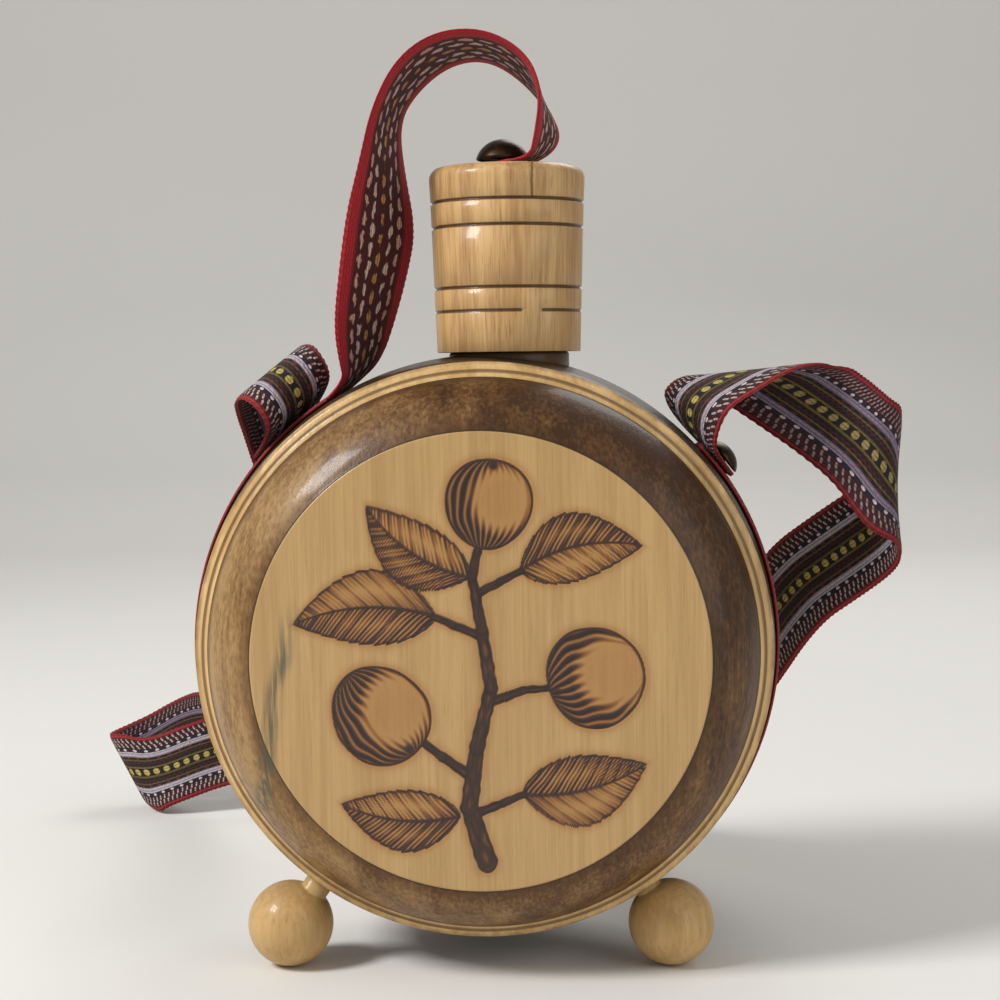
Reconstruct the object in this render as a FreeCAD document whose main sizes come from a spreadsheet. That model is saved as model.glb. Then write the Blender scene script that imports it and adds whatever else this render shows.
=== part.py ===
import FreeCAD, Part
import math
import os
import re
import Sketcher

Vector = FreeCAD.Vector
Rotation = FreeCAD.Rotation
Placement = FreeCAD.Placement

doc = FreeCAD.newDocument("WoodenCanteen")

# Driving dimensions
# The flask stands on its feet, its disc axis lies along Y and its front faces -Y.
# Half-widths are counted along Y from the middle of the barrel. What sits on the barrel is placed
# from its outside, what closes the barrel from its rim, and the cap and its cork from the neck.
dimensions = {
    "barrelRadius": 71.8,
    "bellySag": 1.8,
    "rimHalfWidth": 23.0,
    "beadCount": 2,
    "beadsRound": 3.8,
    "beadsDrop": 3.6,
    "beadsStand": 4.0,
    "ledgeWidth": 4.4,
    "ledgeInset": 1.5,
    "glueGap": 0.05,
    "plugInset": 1.5,
    "panelEdgeStep": 0.2,
    "panelRound": 22.0,
    "panelRise": 14.1,
    "panelWall": 6.2,
    "panelInnerInset": 7.95,
    "panelInnerRound": 20.0,
    "panelInnerStart": 3.0,
    "ringWidth": 12.45,
    "diskChamfer": 0.45,
    "neckShift": 6.5,
    "neckSeatDrop": 3.6,
    "collarFlange": 3.0,
    "collarHeight": 4.1,
    "collarChamfer": 0.5,
    "tenonStep": 2.0,
    "tenonReach": 0.4,
    "neckRadius": 12.0,
    "neckHeight": 25.7,
    "neckBore": 6.15,
    "lipRound": 1.6,
    "lipFlare": 1.2,
    "capFit": 0.5,
    "capWall": 5.4,
    "capFlare": 1.5,
    "capTopThickness": 13.4,
    "capRound": 3.0,
    "capHeadroom": 2.6,
    "capMouthChamfer": 0.6,
    "grooveDepth": 0.6,
    "grooveHalfWidth": 0.55,
    "faintGrooveDepth": 0.35,
    "footGroove": 10.0,
    "footGrooveSpacing": 5.7,
    "topGroove": 8.8,
    "topGrooveSpacing": 6.2,
    "corkFit": 0.25,
    "corkReach": 16.6,
    "corkTaper": 0.35,
    "corkHeadRim": 3.1,
    "corkHeadHeight": 4.0,
    "tackDomeRadius": 6.6,
    "tackDomeHeight": 5.2,
    "tackShankRadius": 1.2,
    "tackShankLength": 10.0,
    "tackTip": 2.0,
    "tackFit": 0.1,
    "capTackShift": -1.0,
    "studDomeRadius": 5.0,
    "studDomeHeight": 2.9,
    "studShankLength": 9.0,
    "leftTackAngle": 131.0,
    "leftTackDepth": 0.0,
    "rightTackAngle": 37.0,
    "rightTackDepth": 3.0,
    "footRadius": 10.5,
    "footTuck": 3.9,
    "footInset": 6.0,
    "leftFootGap": 2.4151,
    "rightFootGap": 0.1974,
    "footNeckRadius": 3.4,
    "footSocketDepth": 7.6,
    "rearFootGap": 0.136947,
    "rearFootNeckRadius": 2.4,
    "rearFootInset": 4.8,
    "rearFootSide": -2.0,
    "strapWidth": 25.0,
    "strapThickness": 1.2,
    "strapGap": 0.05,
    "strapSlack": 0.6,
    "girthDepth": 1.0,
    "girthLeftAngle": 122.0,
    "girthRightAngle": 42.0,
}

sheet = doc.addObject("Spreadsheet::Sheet", "Sizes")
for rowNumber, (alias, number) in enumerate(dimensions.items(), start=1):
    sheet.set("A%d" % rowNumber, alias)
    sheet.set("B%d" % rowNumber, str(number))
    sheet.setAlias("B%d" % rowNumber, alias)
doc.recompute()


def bound(formula):
    """Turn the aliases in a formula into references to the sheet."""
    def reference(word):
        return "Sizes." + word[0] if word[0] in dimensions else word[0]
    return re.sub(r"[A-Za-z_]\w*", reference, str(formula))


def value(formula):
    """Work a formula out as a plain number."""
    result = sheet.evalExpression(bound(formula))
    return float(getattr(result, "Value", result))


# Formulas that several pieces share
FOOT_DROP = "(barrelRadius - footTuck)"
AXIS = "(%s + footRadius)" % FOOT_DROP
RIM_RADIUS = "(barrelRadius - bellySag)"
BELLY = "((rimHalfWidth^2 + bellySag^2) / (2 * bellySag))"
PANEL_RADIUS = "(%s - beadsDrop)" % RIM_RADIUS
RIM_FACE = "(rimHalfWidth + beadsStand)"
LEDGE = "(rimHalfWidth - ledgeInset)"
BARREL_BORE = "(%s - ledgeWidth)" % PANEL_RADIUS
PLUG_RADIUS = "(%s - plugInset)" % BARREL_BORE
DISK_RADIUS = "(%s - ringWidth)" % PANEL_RADIUS
DISK_FACE = "(%s + panelRise)" % RIM_FACE
PANEL_INSIDE = "(%s - panelWall)" % DISK_FACE
NECK_SEAT = "(barrelRadius - neckSeatDrop)"
TENON_LENGTH = "(%s - %s + tenonReach)" % (NECK_SEAT, BARREL_BORE)
TENON_RADIUS = "(neckRadius - tenonStep)"
COLLAR_RADIUS = "(neckRadius + collarFlange)"
COLLAR_TOP = "(%s + collarHeight)" % NECK_SEAT
NECK_TOP = "(%s + neckHeight)" % COLLAR_TOP
CAP_HEIGHT = "(neckHeight + capHeadroom + corkHeadHeight + capTopThickness)"
CAP_TOP = "(%s + %s)" % (COLLAR_TOP, CAP_HEIGHT)
CAP_BORE = "(neckRadius + capFit)"
CAP_FOOT_RADIUS = "(%s + capWall)" % CAP_BORE
CAP_TOP_RADIUS = "(%s + capFlare)" % CAP_FOOT_RADIUS
CAP_CEILING = "(%s + capHeadroom)" % NECK_TOP
CORK_RADIUS = "(neckBore - corkFit)"
CORK_HEAD_RADIUS = "(%s + corkHeadRim)" % CORK_RADIUS
GIRTH_SEAT = "(barrelRadius + strapGap)"
GIRTH_EDGES = ["(girthDepth - strapWidth / 2)", "(girthDepth + strapWidth / 2)"]
CARRY_SEAT = "(%s + strapThickness)" % GIRTH_SEAT
STUD_SEAT = "(%s + strapThickness + 2 * strapGap + strapSlack)" % CARRY_SEAT
FOOT_DEPTH = "(%s - footInset)" % GIRTH_EDGES[0]
REAR_FOOT_DEPTH = "(%s + rearFootInset)" % GIRTH_EDGES[1]
FOOT_SOCKET = "(barrelRadius - footSocketDepth)"


def bellyRadius(depth):
    """Radius of the barrel's bulged outside at a depth along Y."""
    return "(sqrt(%s^2 - (%s)^2) - %s + barrelRadius)" % (BELLY, depth, BELLY)


def capRadius(height):
    """Radius of the tapered cap at a height above its foot."""
    return "(%s + capFlare * (%s) / %s)" % (CAP_FOOT_RADIUS, height, CAP_HEIGHT)


def arcBetween(start, end, radius):
    """Short arc from start to end: a positive radius bulges to the right of the way along."""
    chord = end - start
    middle = (start + end) * 0.5
    offset = math.sqrt(max(radius * radius - (chord.Length / 2) ** 2, 0))
    left = Vector(-chord.y, chord.x, 0).normalize()
    centre = middle + left * math.copysign(offset, radius)
    circle = Part.Circle(centre, Vector(0, 0, 1), abs(radius))
    first = math.atan2(start.y - centre.y, start.x - centre.x)
    last = math.atan2(end.y - centre.y, end.x - centre.x)
    if radius > 0:
        return Part.ArcOfCircle(circle, first, last), 1, 2
    return Part.ArcOfCircle(circle, last, first), 2, 1


def originFeature(body, role):
    return [item for item in body.Origin.OriginFeatures if item.Role == role][0]


def drawProfile(sketch, corners, arcs):
    """Closed outline whose corners and arc radii are bound to the sheet."""
    points = [Vector(value(across), value(up), 0) for across, up in corners]
    ends = []
    for number, start in enumerate(points):
        end = points[(number + 1) % len(points)]
        if number in arcs:
            arc, first, last = arcBetween(start, end, value(arcs[number]))
            line = sketch.addGeometry(arc, False)
            ends.append((line, first, last))
        else:
            line = sketch.addGeometry(Part.LineSegment(start, end), False)
            ends.append((line, 1, 2))
    for number, (line, first, last) in enumerate(ends):
        following, opening, _ = ends[(number + 1) % len(ends)]
        sketch.addConstraint(Sketcher.Constraint("Coincident", line, last, following, opening))
        if number in arcs:
            pick = sketch.addConstraint(Sketcher.Constraint("Radius", line, abs(value(arcs[number]))))
            sketch.setExpression("Constraints[%d]" % pick, bound("abs(%s)" % arcs[number]))
        across, up = corners[number]
        for kind, axis, formula in (("DistanceX", -2, across), ("DistanceY", -1, up)):
            if formula == "0":
                sketch.addConstraint(Sketcher.Constraint("PointOnObject", line, first, axis))
            else:
                pick = sketch.addConstraint(Sketcher.Constraint(kind, -1, 1, line, first, value(formula)))
                sketch.setExpression("Constraints[%d]" % pick, bound(formula))


def place(piece, turnAxis=Vector(0, 0, 1), turn="0", **base):
    """Bind a piece's place and turn to the sheet."""
    piece.Placement = Placement(Vector(), Rotation(turnAxis, value(turn)))
    for axis, formula in base.items():
        piece.setExpression("Placement.Base." + axis, bound(formula))
    if turn != "0":
        piece.setExpression("Placement.Rotation.Angle", bound("(%s) * 1 deg" % turn))


def turned(label, axis, corners, arcs=None, sweep="360"):
    """A piece turned on a lathe. About Z the outline is (radius, height), about Y it is (depth, radius)."""
    body = doc.addObject("PartDesign::Body", label + "_body")
    sketch = body.newObject("Sketcher::SketchObject", label + "_outline")
    sketch.AttachmentSupport = [(originFeature(body, "XZ_Plane" if axis == "Z" else "YZ_Plane"), "")]
    sketch.MapMode = "FlatFace"
    drawProfile(sketch, corners, arcs or {})
    turning = body.newObject("PartDesign::Revolution", label + "_turning")
    turning.Profile = sketch
    turning.ReferenceAxis = (sketch, ["V_Axis" if axis == "Z" else "H_Axis"])
    turning.Angle = value(sweep)
    if sweep != "360":
        turning.setExpression("Angle", bound(sweep))
    body.Tip = turning
    sketch.Visibility = False
    return body


def drill(name, radius, length):
    """A round cutter along its own Z axis."""
    cutter = doc.addObject("Part::Cylinder", name)
    cutter.setExpression("Radius", bound(radius))
    cutter.setExpression("Height", bound(length))
    return cutter


def cutAway(label, base, cutters):
    tools = cutters[0]
    if len(cutters) > 1:
        tools = doc.addObject("Part::Compound", label + "_cutters")
        tools.Links = cutters
    piece = doc.addObject("Part::Cut", label + "_cut")
    piece.Base = base
    piece.Tool = tools
    return piece


nodes = {}


def keep(label, piece):
    piece.Label = label
    nodes[label] = piece
    return piece


# Places that the pieces and their holes share
def atShoulder(piece, angle, depth, level):
    """Along the radius of the barrel at an angle, its own Z outwards."""
    turn = "90 - %s" % angle if value(angle) < 90 else "%s - 90" % angle
    turnAxis = Vector(0, 1, 0) if value(angle) < 90 else Vector(0, -1, 0)
    place(piece, turnAxis, turn, x="(%s) * cos(%s)" % (level, angle), y=depth,
          z="%s + (%s) * sin(%s)" % (AXIS, level, angle))


def footReach(side, drop):
    """How far a foot's centre lies from the disc axis."""
    return "sqrt((%s)^2 + (%s)^2)" % (side, drop)


def atFoot(piece, side, depth, drop):
    """At a foot's centre, its own Z towards the disc axis."""
    turnAxis = Vector(0, 1 if value(side) < 0 else -1, 0)
    place(piece, turnAxis, "atan(abs(%s) / (%s))" % (side, drop), x=side, y=depth, z="%s - (%s)" % (AXIS, drop))


def atNeck(piece, level="0", shift="0"):
    place(piece, x="neckShift + (%s)" % shift, z="%s + (%s)" % (AXIS, level))


def footSide(gap):
    """How far aside a front foot's centre is, with its ball at a gap from the barrel."""
    return "sqrt((%s + footRadius + %s)^2 - %s^2)" % (bellyRadius(FOOT_DEPTH), gap, FOOT_DROP)


REAR_FOOT_RADIUS = "((%s - %s - rearFootGap) / 2)" % (AXIS, bellyRadius(REAR_FOOT_DEPTH))
feet = {
    "foot_front_left": ("-" + footSide("leftFootGap"), FOOT_DEPTH, FOOT_DROP, "footRadius", "footNeckRadius"),
    "foot_front_right": (footSide("rightFootGap"), FOOT_DEPTH, FOOT_DROP, "footRadius", "footNeckRadius"),
    "foot_rear": ("rearFootSide", REAR_FOOT_DEPTH, "(%s - %s)" % (AXIS, REAR_FOOT_RADIUS),
                  REAR_FOOT_RADIUS, "rearFootNeckRadius"),
}
tacks = {
    "shoulder_tack_left": ("leftTackAngle", "leftTackDepth"),
    "shoulder_tack_right": ("rightTackAngle", "rightTackDepth"),
}


# Barrel: a thick turned ring with a bulged outside, two beads at each rim and a rebate for each panel
def barrelOutline():
    corners = [("-rimHalfWidth", RIM_RADIUS), ("rimHalfWidth", RIM_RADIUS)]
    arcs = {0: "-(%s)" % BELLY}
    beads = int(value("beadCount"))
    beadRound = "-(beadsRound / beadCount)"
    rear = []
    for number in range(1, beads + 1):
        arcs[len(corners) - 1 + len(rear)] = beadRound
        rear.append(("rimHalfWidth + %d * beadsStand / beadCount" % number,
                     "%s - %d * beadsDrop / beadCount" % (RIM_RADIUS, number)))
    rear += [(LEDGE, PANEL_RADIUS), (LEDGE, BARREL_BORE)]
    front = [("-(%s)" % depth, radius) for depth, radius in reversed(rear)]
    first = len(corners) + len(rear) + len(front) - beads
    for number in range(beads):
        arcs[first + number] = beadRound
    return corners + rear + front, arcs


ringCorners, ringArcs = barrelOutline()
ring = turned("barrel", "Y", ringCorners, ringArcs)
place(ring, z=AXIS)

neckSocket = drill("neck_socket", TENON_RADIUS + " + glueGap", "2 * collarHeight + " + TENON_LENGTH)
atNeck(neckSocket, "%s - %s - collarHeight" % (NECK_SEAT, TENON_LENGTH))
neckSeat = drill("neck_seat", COLLAR_RADIUS + " + glueGap", "2 * collarHeight")
atNeck(neckSeat, NECK_SEAT)
barrelCutters = [neckSocket, neckSeat]
for name, (side, depth, drop, radius, neck) in feet.items():
    socket = drill(name + "_socket", neck + " + glueGap", footReach(side, drop) + " - " + FOOT_SOCKET)
    atFoot(socket, side, depth, drop)
    barrelCutters.append(socket)
for name, (angle, depth) in tacks.items():
    shankHole = drill(name + "_barrel_hole", "tackShankRadius + tackFit", "2 * studShankLength")
    atShoulder(shankHole, angle, depth, STUD_SEAT + " - studShankLength - tackFit")
    barrelCutters.append(shankHole)
keep("barrel", cutAway("barrel", ring, barrelCutters))


# Front and rear panels: domed, hollowed inside, let into the barrel's rebates
panelOutline = [
    (PANEL_INSIDE, "0"),
    (DISK_FACE, "0"),
    (DISK_FACE, DISK_RADIUS),
    (DISK_FACE + " - diskChamfer", DISK_RADIUS + " + diskChamfer"),
    (RIM_FACE + " + panelEdgeStep", PANEL_RADIUS + " - glueGap"),
    (LEDGE, PANEL_RADIUS + " - glueGap"),
    (LEDGE, PLUG_RADIUS),
    (LEDGE + " + panelInnerStart", PLUG_RADIUS),
    (PANEL_INSIDE, DISK_RADIUS + " - panelInnerInset"),
]
panelArcs = {3: "panelRound", 7: "-panelInnerRound"}
for label, turn in (("front_panel", "180"), ("rear_panel", "0")):
    panel = turned(label, "Y", panelOutline, panelArcs)
    place(panel, turn=turn, z=AXIS)
    keep(label, panel)


# Neck: a turned spigot with a collar let into the top of the barrel
neck = turned("neck", "Z", [
    ("neckBore", "-" + TENON_LENGTH),
    (TENON_RADIUS, "-" + TENON_LENGTH),
    (TENON_RADIUS, "0"),
    (COLLAR_RADIUS, "0"),
    (COLLAR_RADIUS, "collarHeight - collarChamfer"),
    (COLLAR_RADIUS + " - collarChamfer", "collarHeight"),
    ("neckRadius", "collarHeight"),
    ("neckRadius", "collarHeight + neckHeight - lipRound"),
    ("neckRadius - lipRound", "collarHeight + neckHeight"),
    ("neckBore + lipFlare", "collarHeight + neckHeight"),
    ("neckBore", "collarHeight + neckHeight - lipFlare"),
], {7: "lipRound"})
atNeck(neck, NECK_SEAT)
keep("neck", neck)


# Cap: a tall turned cap, wider at its top, with two pairs of turned grooves
def capOutline():
    corners = [(CAP_FOOT_RADIUS, "0")]
    for groove, depth in (("footGroove", "faintGrooveDepth"),
                          ("footGroove + footGrooveSpacing", "grooveDepth"),
                          (CAP_HEIGHT + " - topGroove - topGrooveSpacing", "grooveDepth"),
                          (CAP_HEIGHT + " - topGroove", "grooveDepth")):
        corners += [
            (capRadius(groove + " - grooveHalfWidth"), groove + " - grooveHalfWidth"),
            (capRadius(groove) + " - " + depth, groove),
            (capRadius(groove + " + grooveHalfWidth"), groove + " + grooveHalfWidth"),
        ]
    arcs = {len(corners): "capRound"}
    headSeat = "neckHeight + capHeadroom + corkHeadHeight"
    corners += [
        (CAP_TOP_RADIUS, CAP_HEIGHT + " - capRound"),
        (CAP_TOP_RADIUS + " - capRound", CAP_HEIGHT),
        ("0", CAP_HEIGHT),
        ("0", headSeat),
        (CORK_HEAD_RADIUS + " + glueGap", headSeat),
        (CORK_HEAD_RADIUS + " + glueGap", "neckHeight + capHeadroom"),
        (CAP_BORE, "neckHeight + capHeadroom"),
        (CAP_BORE, "capMouthChamfer"),
        (CAP_BORE + " + capMouthChamfer", "0"),
    ]
    return corners, arcs


capCorners, capArcs = capOutline()
capShell = turned("cap", "Z", capCorners, capArcs)
atNeck(capShell, COLLAR_TOP)
capTackHole = drill("cap_tack_hole", "tackShankRadius + tackFit", "2 * tackShankLength")
atNeck(capTackHole, CAP_TOP + " - tackShankLength - tackFit", "capTackShift")
keep("cap", cutAway("cap", capShell, [capTackHole]))


# Cork stopper: a disc let into the cap's ceiling and a tapered plug that fills the neck
stopper = turned("cork_stopper", "Z", [
    ("0", "-corkReach"),
    (CORK_RADIUS + " - 3 * corkTaper", "-corkReach"),
    (CORK_RADIUS + " - corkTaper", "2 * corkTaper - corkReach"),
    (CORK_RADIUS, "0"),
    (CORK_HEAD_RADIUS, "0"),
    (CORK_HEAD_RADIUS, "corkHeadHeight"),
    ("0", "corkHeadHeight"),
])
atNeck(stopper, CAP_CEILING)
keep("cork_stopper", stopper)


# Upholstery tacks: a domed head on a pointed shank
def tack(label, domeRadius, domeHeight, shankLength):
    domeRound = "((%s^2 + %s^2) / (2 * %s))" % (domeRadius, domeHeight, domeHeight)
    piece = turned(label, "Z", [
        ("0", "-" + shankLength),
        ("tackShankRadius", "tackTip - " + shankLength),
        ("tackShankRadius", "0"),
        (domeRadius, "0"),
        ("0", domeHeight),
    ], {3: domeRound})
    return keep(label, piece)


atNeck(tack("cap_tack", "tackDomeRadius", "tackDomeHeight", "tackShankLength"),
       CAP_TOP + " + strapThickness + strapGap + strapSlack", "capTackShift")
for name, (angle, depth) in tacks.items():
    atShoulder(tack(name, "studDomeRadius", "studDomeHeight", "studShankLength"), angle, depth, STUD_SEAT)


# Ball feet: a turned ball on a short neck that is glued into the barrel
for name, (side, depth, drop, radius, neck) in feet.items():
    foot = turned(name, "Z", [
        ("0", "-" + radius),
        (radius, "0"),
        (neck, "sqrt(%s^2 - %s^2)" % (radius, neck)),
        (neck, "%s - %s - glueGap" % (footReach(side, drop), FOOT_SOCKET)),
        ("0", "%s - %s - glueGap" % (footReach(side, drop), FOOT_SOCKET)),
    ], {0: radius, 1: radius})
    atFoot(foot, side, depth, drop)
    keep(name, foot)


# Strap round the barrel: one woven band, nailed at both shoulders
girthInside = [bellyRadius(edge) + " + strapGap" for edge in GIRTH_EDGES]
girth = turned("strap_girth", "Y", [
    (GIRTH_EDGES[0], girthInside[0]),
    (GIRTH_EDGES[1], girthInside[1]),
    (GIRTH_EDGES[1], girthInside[1] + " + strapThickness"),
    (GIRTH_EDGES[0], girthInside[0] + " + strapThickness"),
], {0: "-(%s + strapGap)" % BELLY, 2: "(%s + strapGap + strapThickness)" % BELLY},
    "360 - girthLeftAngle + girthRightAngle")
place(girth, Vector(0, 1, 0), "90 - girthRightAngle", z=AXIS)
girthHoles = []
for name, (angle, depth) in tacks.items():
    strapHole = drill(name + "_strap_hole", "tackShankRadius + tackFit", "6 * strapThickness")
    atShoulder(strapHole, angle, depth, GIRTH_SEAT + " - strapThickness")
    girthHoles.append(strapHole)
keep("strap_girth", cutAway("strap_girth", girth, girthHoles))
doc.recompute()


# Free lengths of the strap
# Each row is a point of the middle line and the way across the band there, from its
# nearer edge to its farther one. The middle line runs straight between tangent arcs.
tetherRoute = [
    (-1.0, 0.0, 197.0, 0, 24, 0),
    (13.0, -0.5, 197.1, 0, 24, 0),
    (17.8, -1.5, 203.5, -6, 23, 0),
    (16.4, -3.0, 213.5, -3, 24, 0),
    (11.0, -4.5, 220.8, -3, 23, -4),
    (2.0, -5.5, 225.6, -1, 22.5, -8),
    (-8.5, -6.0, 224.8, 2, 22.5, -8),
    (-17.5, -6.2, 218.8, 4, 23, -6),
    (-23.0, -6.4, 209.0, 7, 23, -1),
    (-24.0, -6.4, 196.0, 11, 21, 0),
    (-24.5, -6.0, 182.5, 15, 18.5, -2),
    (-26.6, -5.0, 170.5, 15, 18.5, 2),
    (-29.2, -3.0, 158.5, 13, 20, 2),
    (-30.6, -0.8, 149.0, 8, 22.5, 1),
    (-33.2, 0.8, 144.0, 1, 24, 0),
]
carryRoute = [
    (-51.4, 8.0, 131.4, 16.2, 10.7, 14.1),
    (-46.3, -5.4, 135.8, 16.2, 10.7, 14.1),
    (-44.6, -12.6, 140.2, 16.2, 10.7, 14.1),
    (-49.4, -12.4, 145.6, 16.2, 10.7, 14.1),
    (-54.2, -4.8, 146.2, 16.2, 10.7, 14.1),
    (-57.4, 5.8, 143.0, 16.5, 10.5, 13.5),
    (-58.0, 18.0, 134.5, 18, 10, 12),
    (-55.0, 31.0, 120.0, 21, 9, 7),
    (-55.5, 43.0, 99.0, 22.5, 8, 2),
    (-58.5, 59.0, 78.0, 22, 7, -6),
    (-65.5, 80.0, 58.5, 20, 2, -13),
    (-75.0, 105.0, 42.5, 16, -3, -17),
    (-86.0, 132.0, 30.5, 11, -6, -20),
    (-97.5, 157.0, 23.5, 7, -9, -21),
    (-111.0, 173.0, 20.0, 5, -10, -21),
    (-125.5, 174.0, 16.0, 5, -11, -20),
    (-133.5, 164.0, 15.0, 6, -4, -23),
    (-130.0, 153.0, 14.6, 7, 1, -23),
    (-117.5, 149.5, 13.2, 9, -11, -19),
    (-100.5, 155.0, 16.5, 7, -13, -18.5),
    (-80.0, 161.0, 16.0, 5, -14, -18.5),
    (-55.0, 159.0, 13.0, 4, -14, -19),
    (-28.0, 149.0, 12.4, 5, -14, -19),
    (-2.0, 132.0, 13.0, 8, -13, -18.5),
    (21.0, 113.0, 15.5, 11, -11, -18),
    (41.0, 93.0, 25.0, 12, -10, -18),
    (57.0, 72.0, 42.0, 12, -10, -18),
    (69.0, 51.0, 64.5, 12, -9, -18),
    (80.0, 32.0, 87.0, 12, -7, -20.5),
    (91.0, 22.0, 96.5, 12, -7, -20.5),
    (99.6, 13.5, 104.0, 8, -9, -21.5),
    (103.4, 5.5, 109.0, 2, -13, -21),
    (102.6, -1.5, 114.5, -3, -11, -22),
    (99.3, -4.5, 120.5, -8, -4, -23),
    (94.5, -4.5, 127.0, -13, 2, -21),
    (87.5, -2.5, 133.0, -21.5, 4, -15),
    (80.5, -0.5, 138.2, -29, 7, -11.5),
    (74.2, 1.0, 142.6, -35, 11, -7),
    (69.4, -1.0, 145.2, -35, 14, -4.5),
    (64.0, -4.0, 144.6, -28, 19, -2),
    (58.3, -6.3, 142.2, -18.6, 20, 3.5),
    (53.2, -7.2, 139.2, -12, 19.5, 5.5),
    (51.2, -5.6, 135.0, -12, 18.5, 8),
    (52.7, -1.6, 130.2, -11.5, 18, 11.5),
    (57.8, 2.6, 124.4, -10.6, 18, 13.3),
    (62.8, 8.0, 118.6, -9, 18, 13.5),
]


def girthEnd(angle):
    """Middle of the strap's end on the barrel at an angle, and the way along it there."""
    level = value(GIRTH_SEAT + " + strapThickness / 2")
    turn = math.radians(value(angle))
    point = Vector(level * math.cos(turn), value("girthDepth"), value(AXIS) + level * math.sin(turn))
    return point, Vector(-math.sin(turn), 0, math.cos(turn))


def section(point, along, across):
    """The band's edge-to-edge line and its thickness. Slanted over a fold, the line is longer."""
    along = Vector(along).normalize()
    across = Vector(across).normalize()
    up = along.cross(across)
    halfWidth = across * (value("strapWidth") / (2 * up.Length))
    halfThickness = up.normalize() * (value("strapThickness") / 2)
    corners = [point + halfWidth + halfThickness, point - halfWidth + halfThickness,
               point - halfWidth - halfThickness, point + halfWidth - halfThickness]
    return Part.makePolygon(corners + corners[:1])


def strapAlong(label, route, arcShare=0.45, arcSteps=4, volumeLeeway=0.06):
    """A flat band along straight runs and tangent arcs, lofted from section to section."""
    points = [Vector(*row[:3]) for row in route]
    across = [Vector(*row[3:]).normalize() for row in route]
    runs = [points[number + 1] - points[number] for number in range(len(points) - 1)]
    ways = [Vector(run).normalize() for run in runs]
    stations = [(points[0], ways[0], across[0])]
    radii = []
    for number in range(1, len(points) - 1):
        cut = arcShare * min(runs[number - 1].Length, runs[number].Length)
        start = points[number] - ways[number - 1] * cut
        end = points[number] + ways[number] * cut
        turn = ways[number - 1].getAngle(ways[number])
        radii.append(cut / math.tan(turn / 2))
        centre = points[number] + (ways[number] - ways[number - 1]).normalize() * (cut / math.sin(turn / 2))
        middle = centre + (points[number] - centre).normalize() * radii[-1]
        arc = Part.Arc(start, middle, end)
        before = (across[number - 1] + across[number] * 3).normalize()
        after = (across[number + 1] + across[number] * 3).normalize()
        for step in range(arcSteps + 1):
            share = step / arcSteps
            parameter = arc.FirstParameter + (arc.LastParameter - arc.FirstParameter) * share
            tangent = arc.tangent(parameter)[0]
            if tangent.dot(ways[number - 1] + ways[number]) < 0:
                tangent = -tangent
            wide = before * (1 - share) ** 2 + across[number] * 2 * share * (1 - share) + after * share ** 2
            stations.append((arc.value(parameter), tangent, wide))
    stations.append((points[-1], ways[-1], across[-1]))
    band = Part.makeLoft([section(*station) for station in stations], True, True)
    steps = zip(stations, stations[1:])
    length = sum(here[0].distanceToPoint(there[0]) for here, there in steps)
    plain = length * value("strapWidth") * value("strapThickness")
    print("%s: length %.1f mm, radii %s" % (label, length, " ".join("%.1f" % radius for radius in radii)))
    print("%s: volume %.1f of section times length %.1f" % (label, band.Volume, plain))
    if abs(band.Volume - plain) > volumeLeeway * plain:
        raise RuntimeError(label + " has the wrong volume")
    return band


def strapNode(label, band, cutters):
    for cutter in cutters:
        band = band.cut(cutter.Shape)
    feature = doc.addObject("Part::Feature", label + "_band")
    feature.Shape = band.Solids[0] if len(band.Solids) == 1 else band
    feature.Placement = Placement()
    return keep(label, feature)


endPoint, endWay = girthEnd("girthLeftAngle")
landing = endPoint - endWay * value("strapSlack")
tetherRoute.append((landing.x, landing.y, landing.z, 0, 24, 0))
strapNode("strap_tether", strapAlong("strap_tether", tetherRoute), [capTackHole])
carryHoles = []
for name, (angle, depth) in tacks.items():
    strapHole = drill(name + "_carry_hole", "tackShankRadius + tackFit", "8 * strapThickness")
    atShoulder(strapHole, angle, depth, CARRY_SEAT + " - 2 * strapThickness")
    carryHoles.append(strapHole)
doc.recompute()
strapNode("strap_carry", strapAlong("strap_carry", carryRoute), carryHoles)


# Check every object before anything is written
doc.recompute()
for item in doc.Objects:
    if "Invalid" in item.State or "Error" in item.State:
        raise RuntimeError(item.Name + " failed")
for label, piece in nodes.items():
    shape = piece.Shape
    if shape.isNull() or not shape.isValid() or len(shape.Solids) != 1:
        raise RuntimeError(label + " isn't one valid solid")
    box = shape.BoundBox
    print("%-20s %9.1f mm3  x %.2f %.2f  y %.2f %.2f  z %.2f %.2f" % (
        label, shape.Volume, box.XMin, box.XMax, box.YMin, box.YMax, box.ZMin, box.ZMax))

os.makedirs("parts", exist_ok=True)
for label, piece in nodes.items():
    piece.Shape.exportStep("parts/%s.step" % label)
print(len(nodes), "nodes written")
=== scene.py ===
import math
import random

import bmesh
import bpy
import numpy as np
from mathutils import Matrix, Vector


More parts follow.
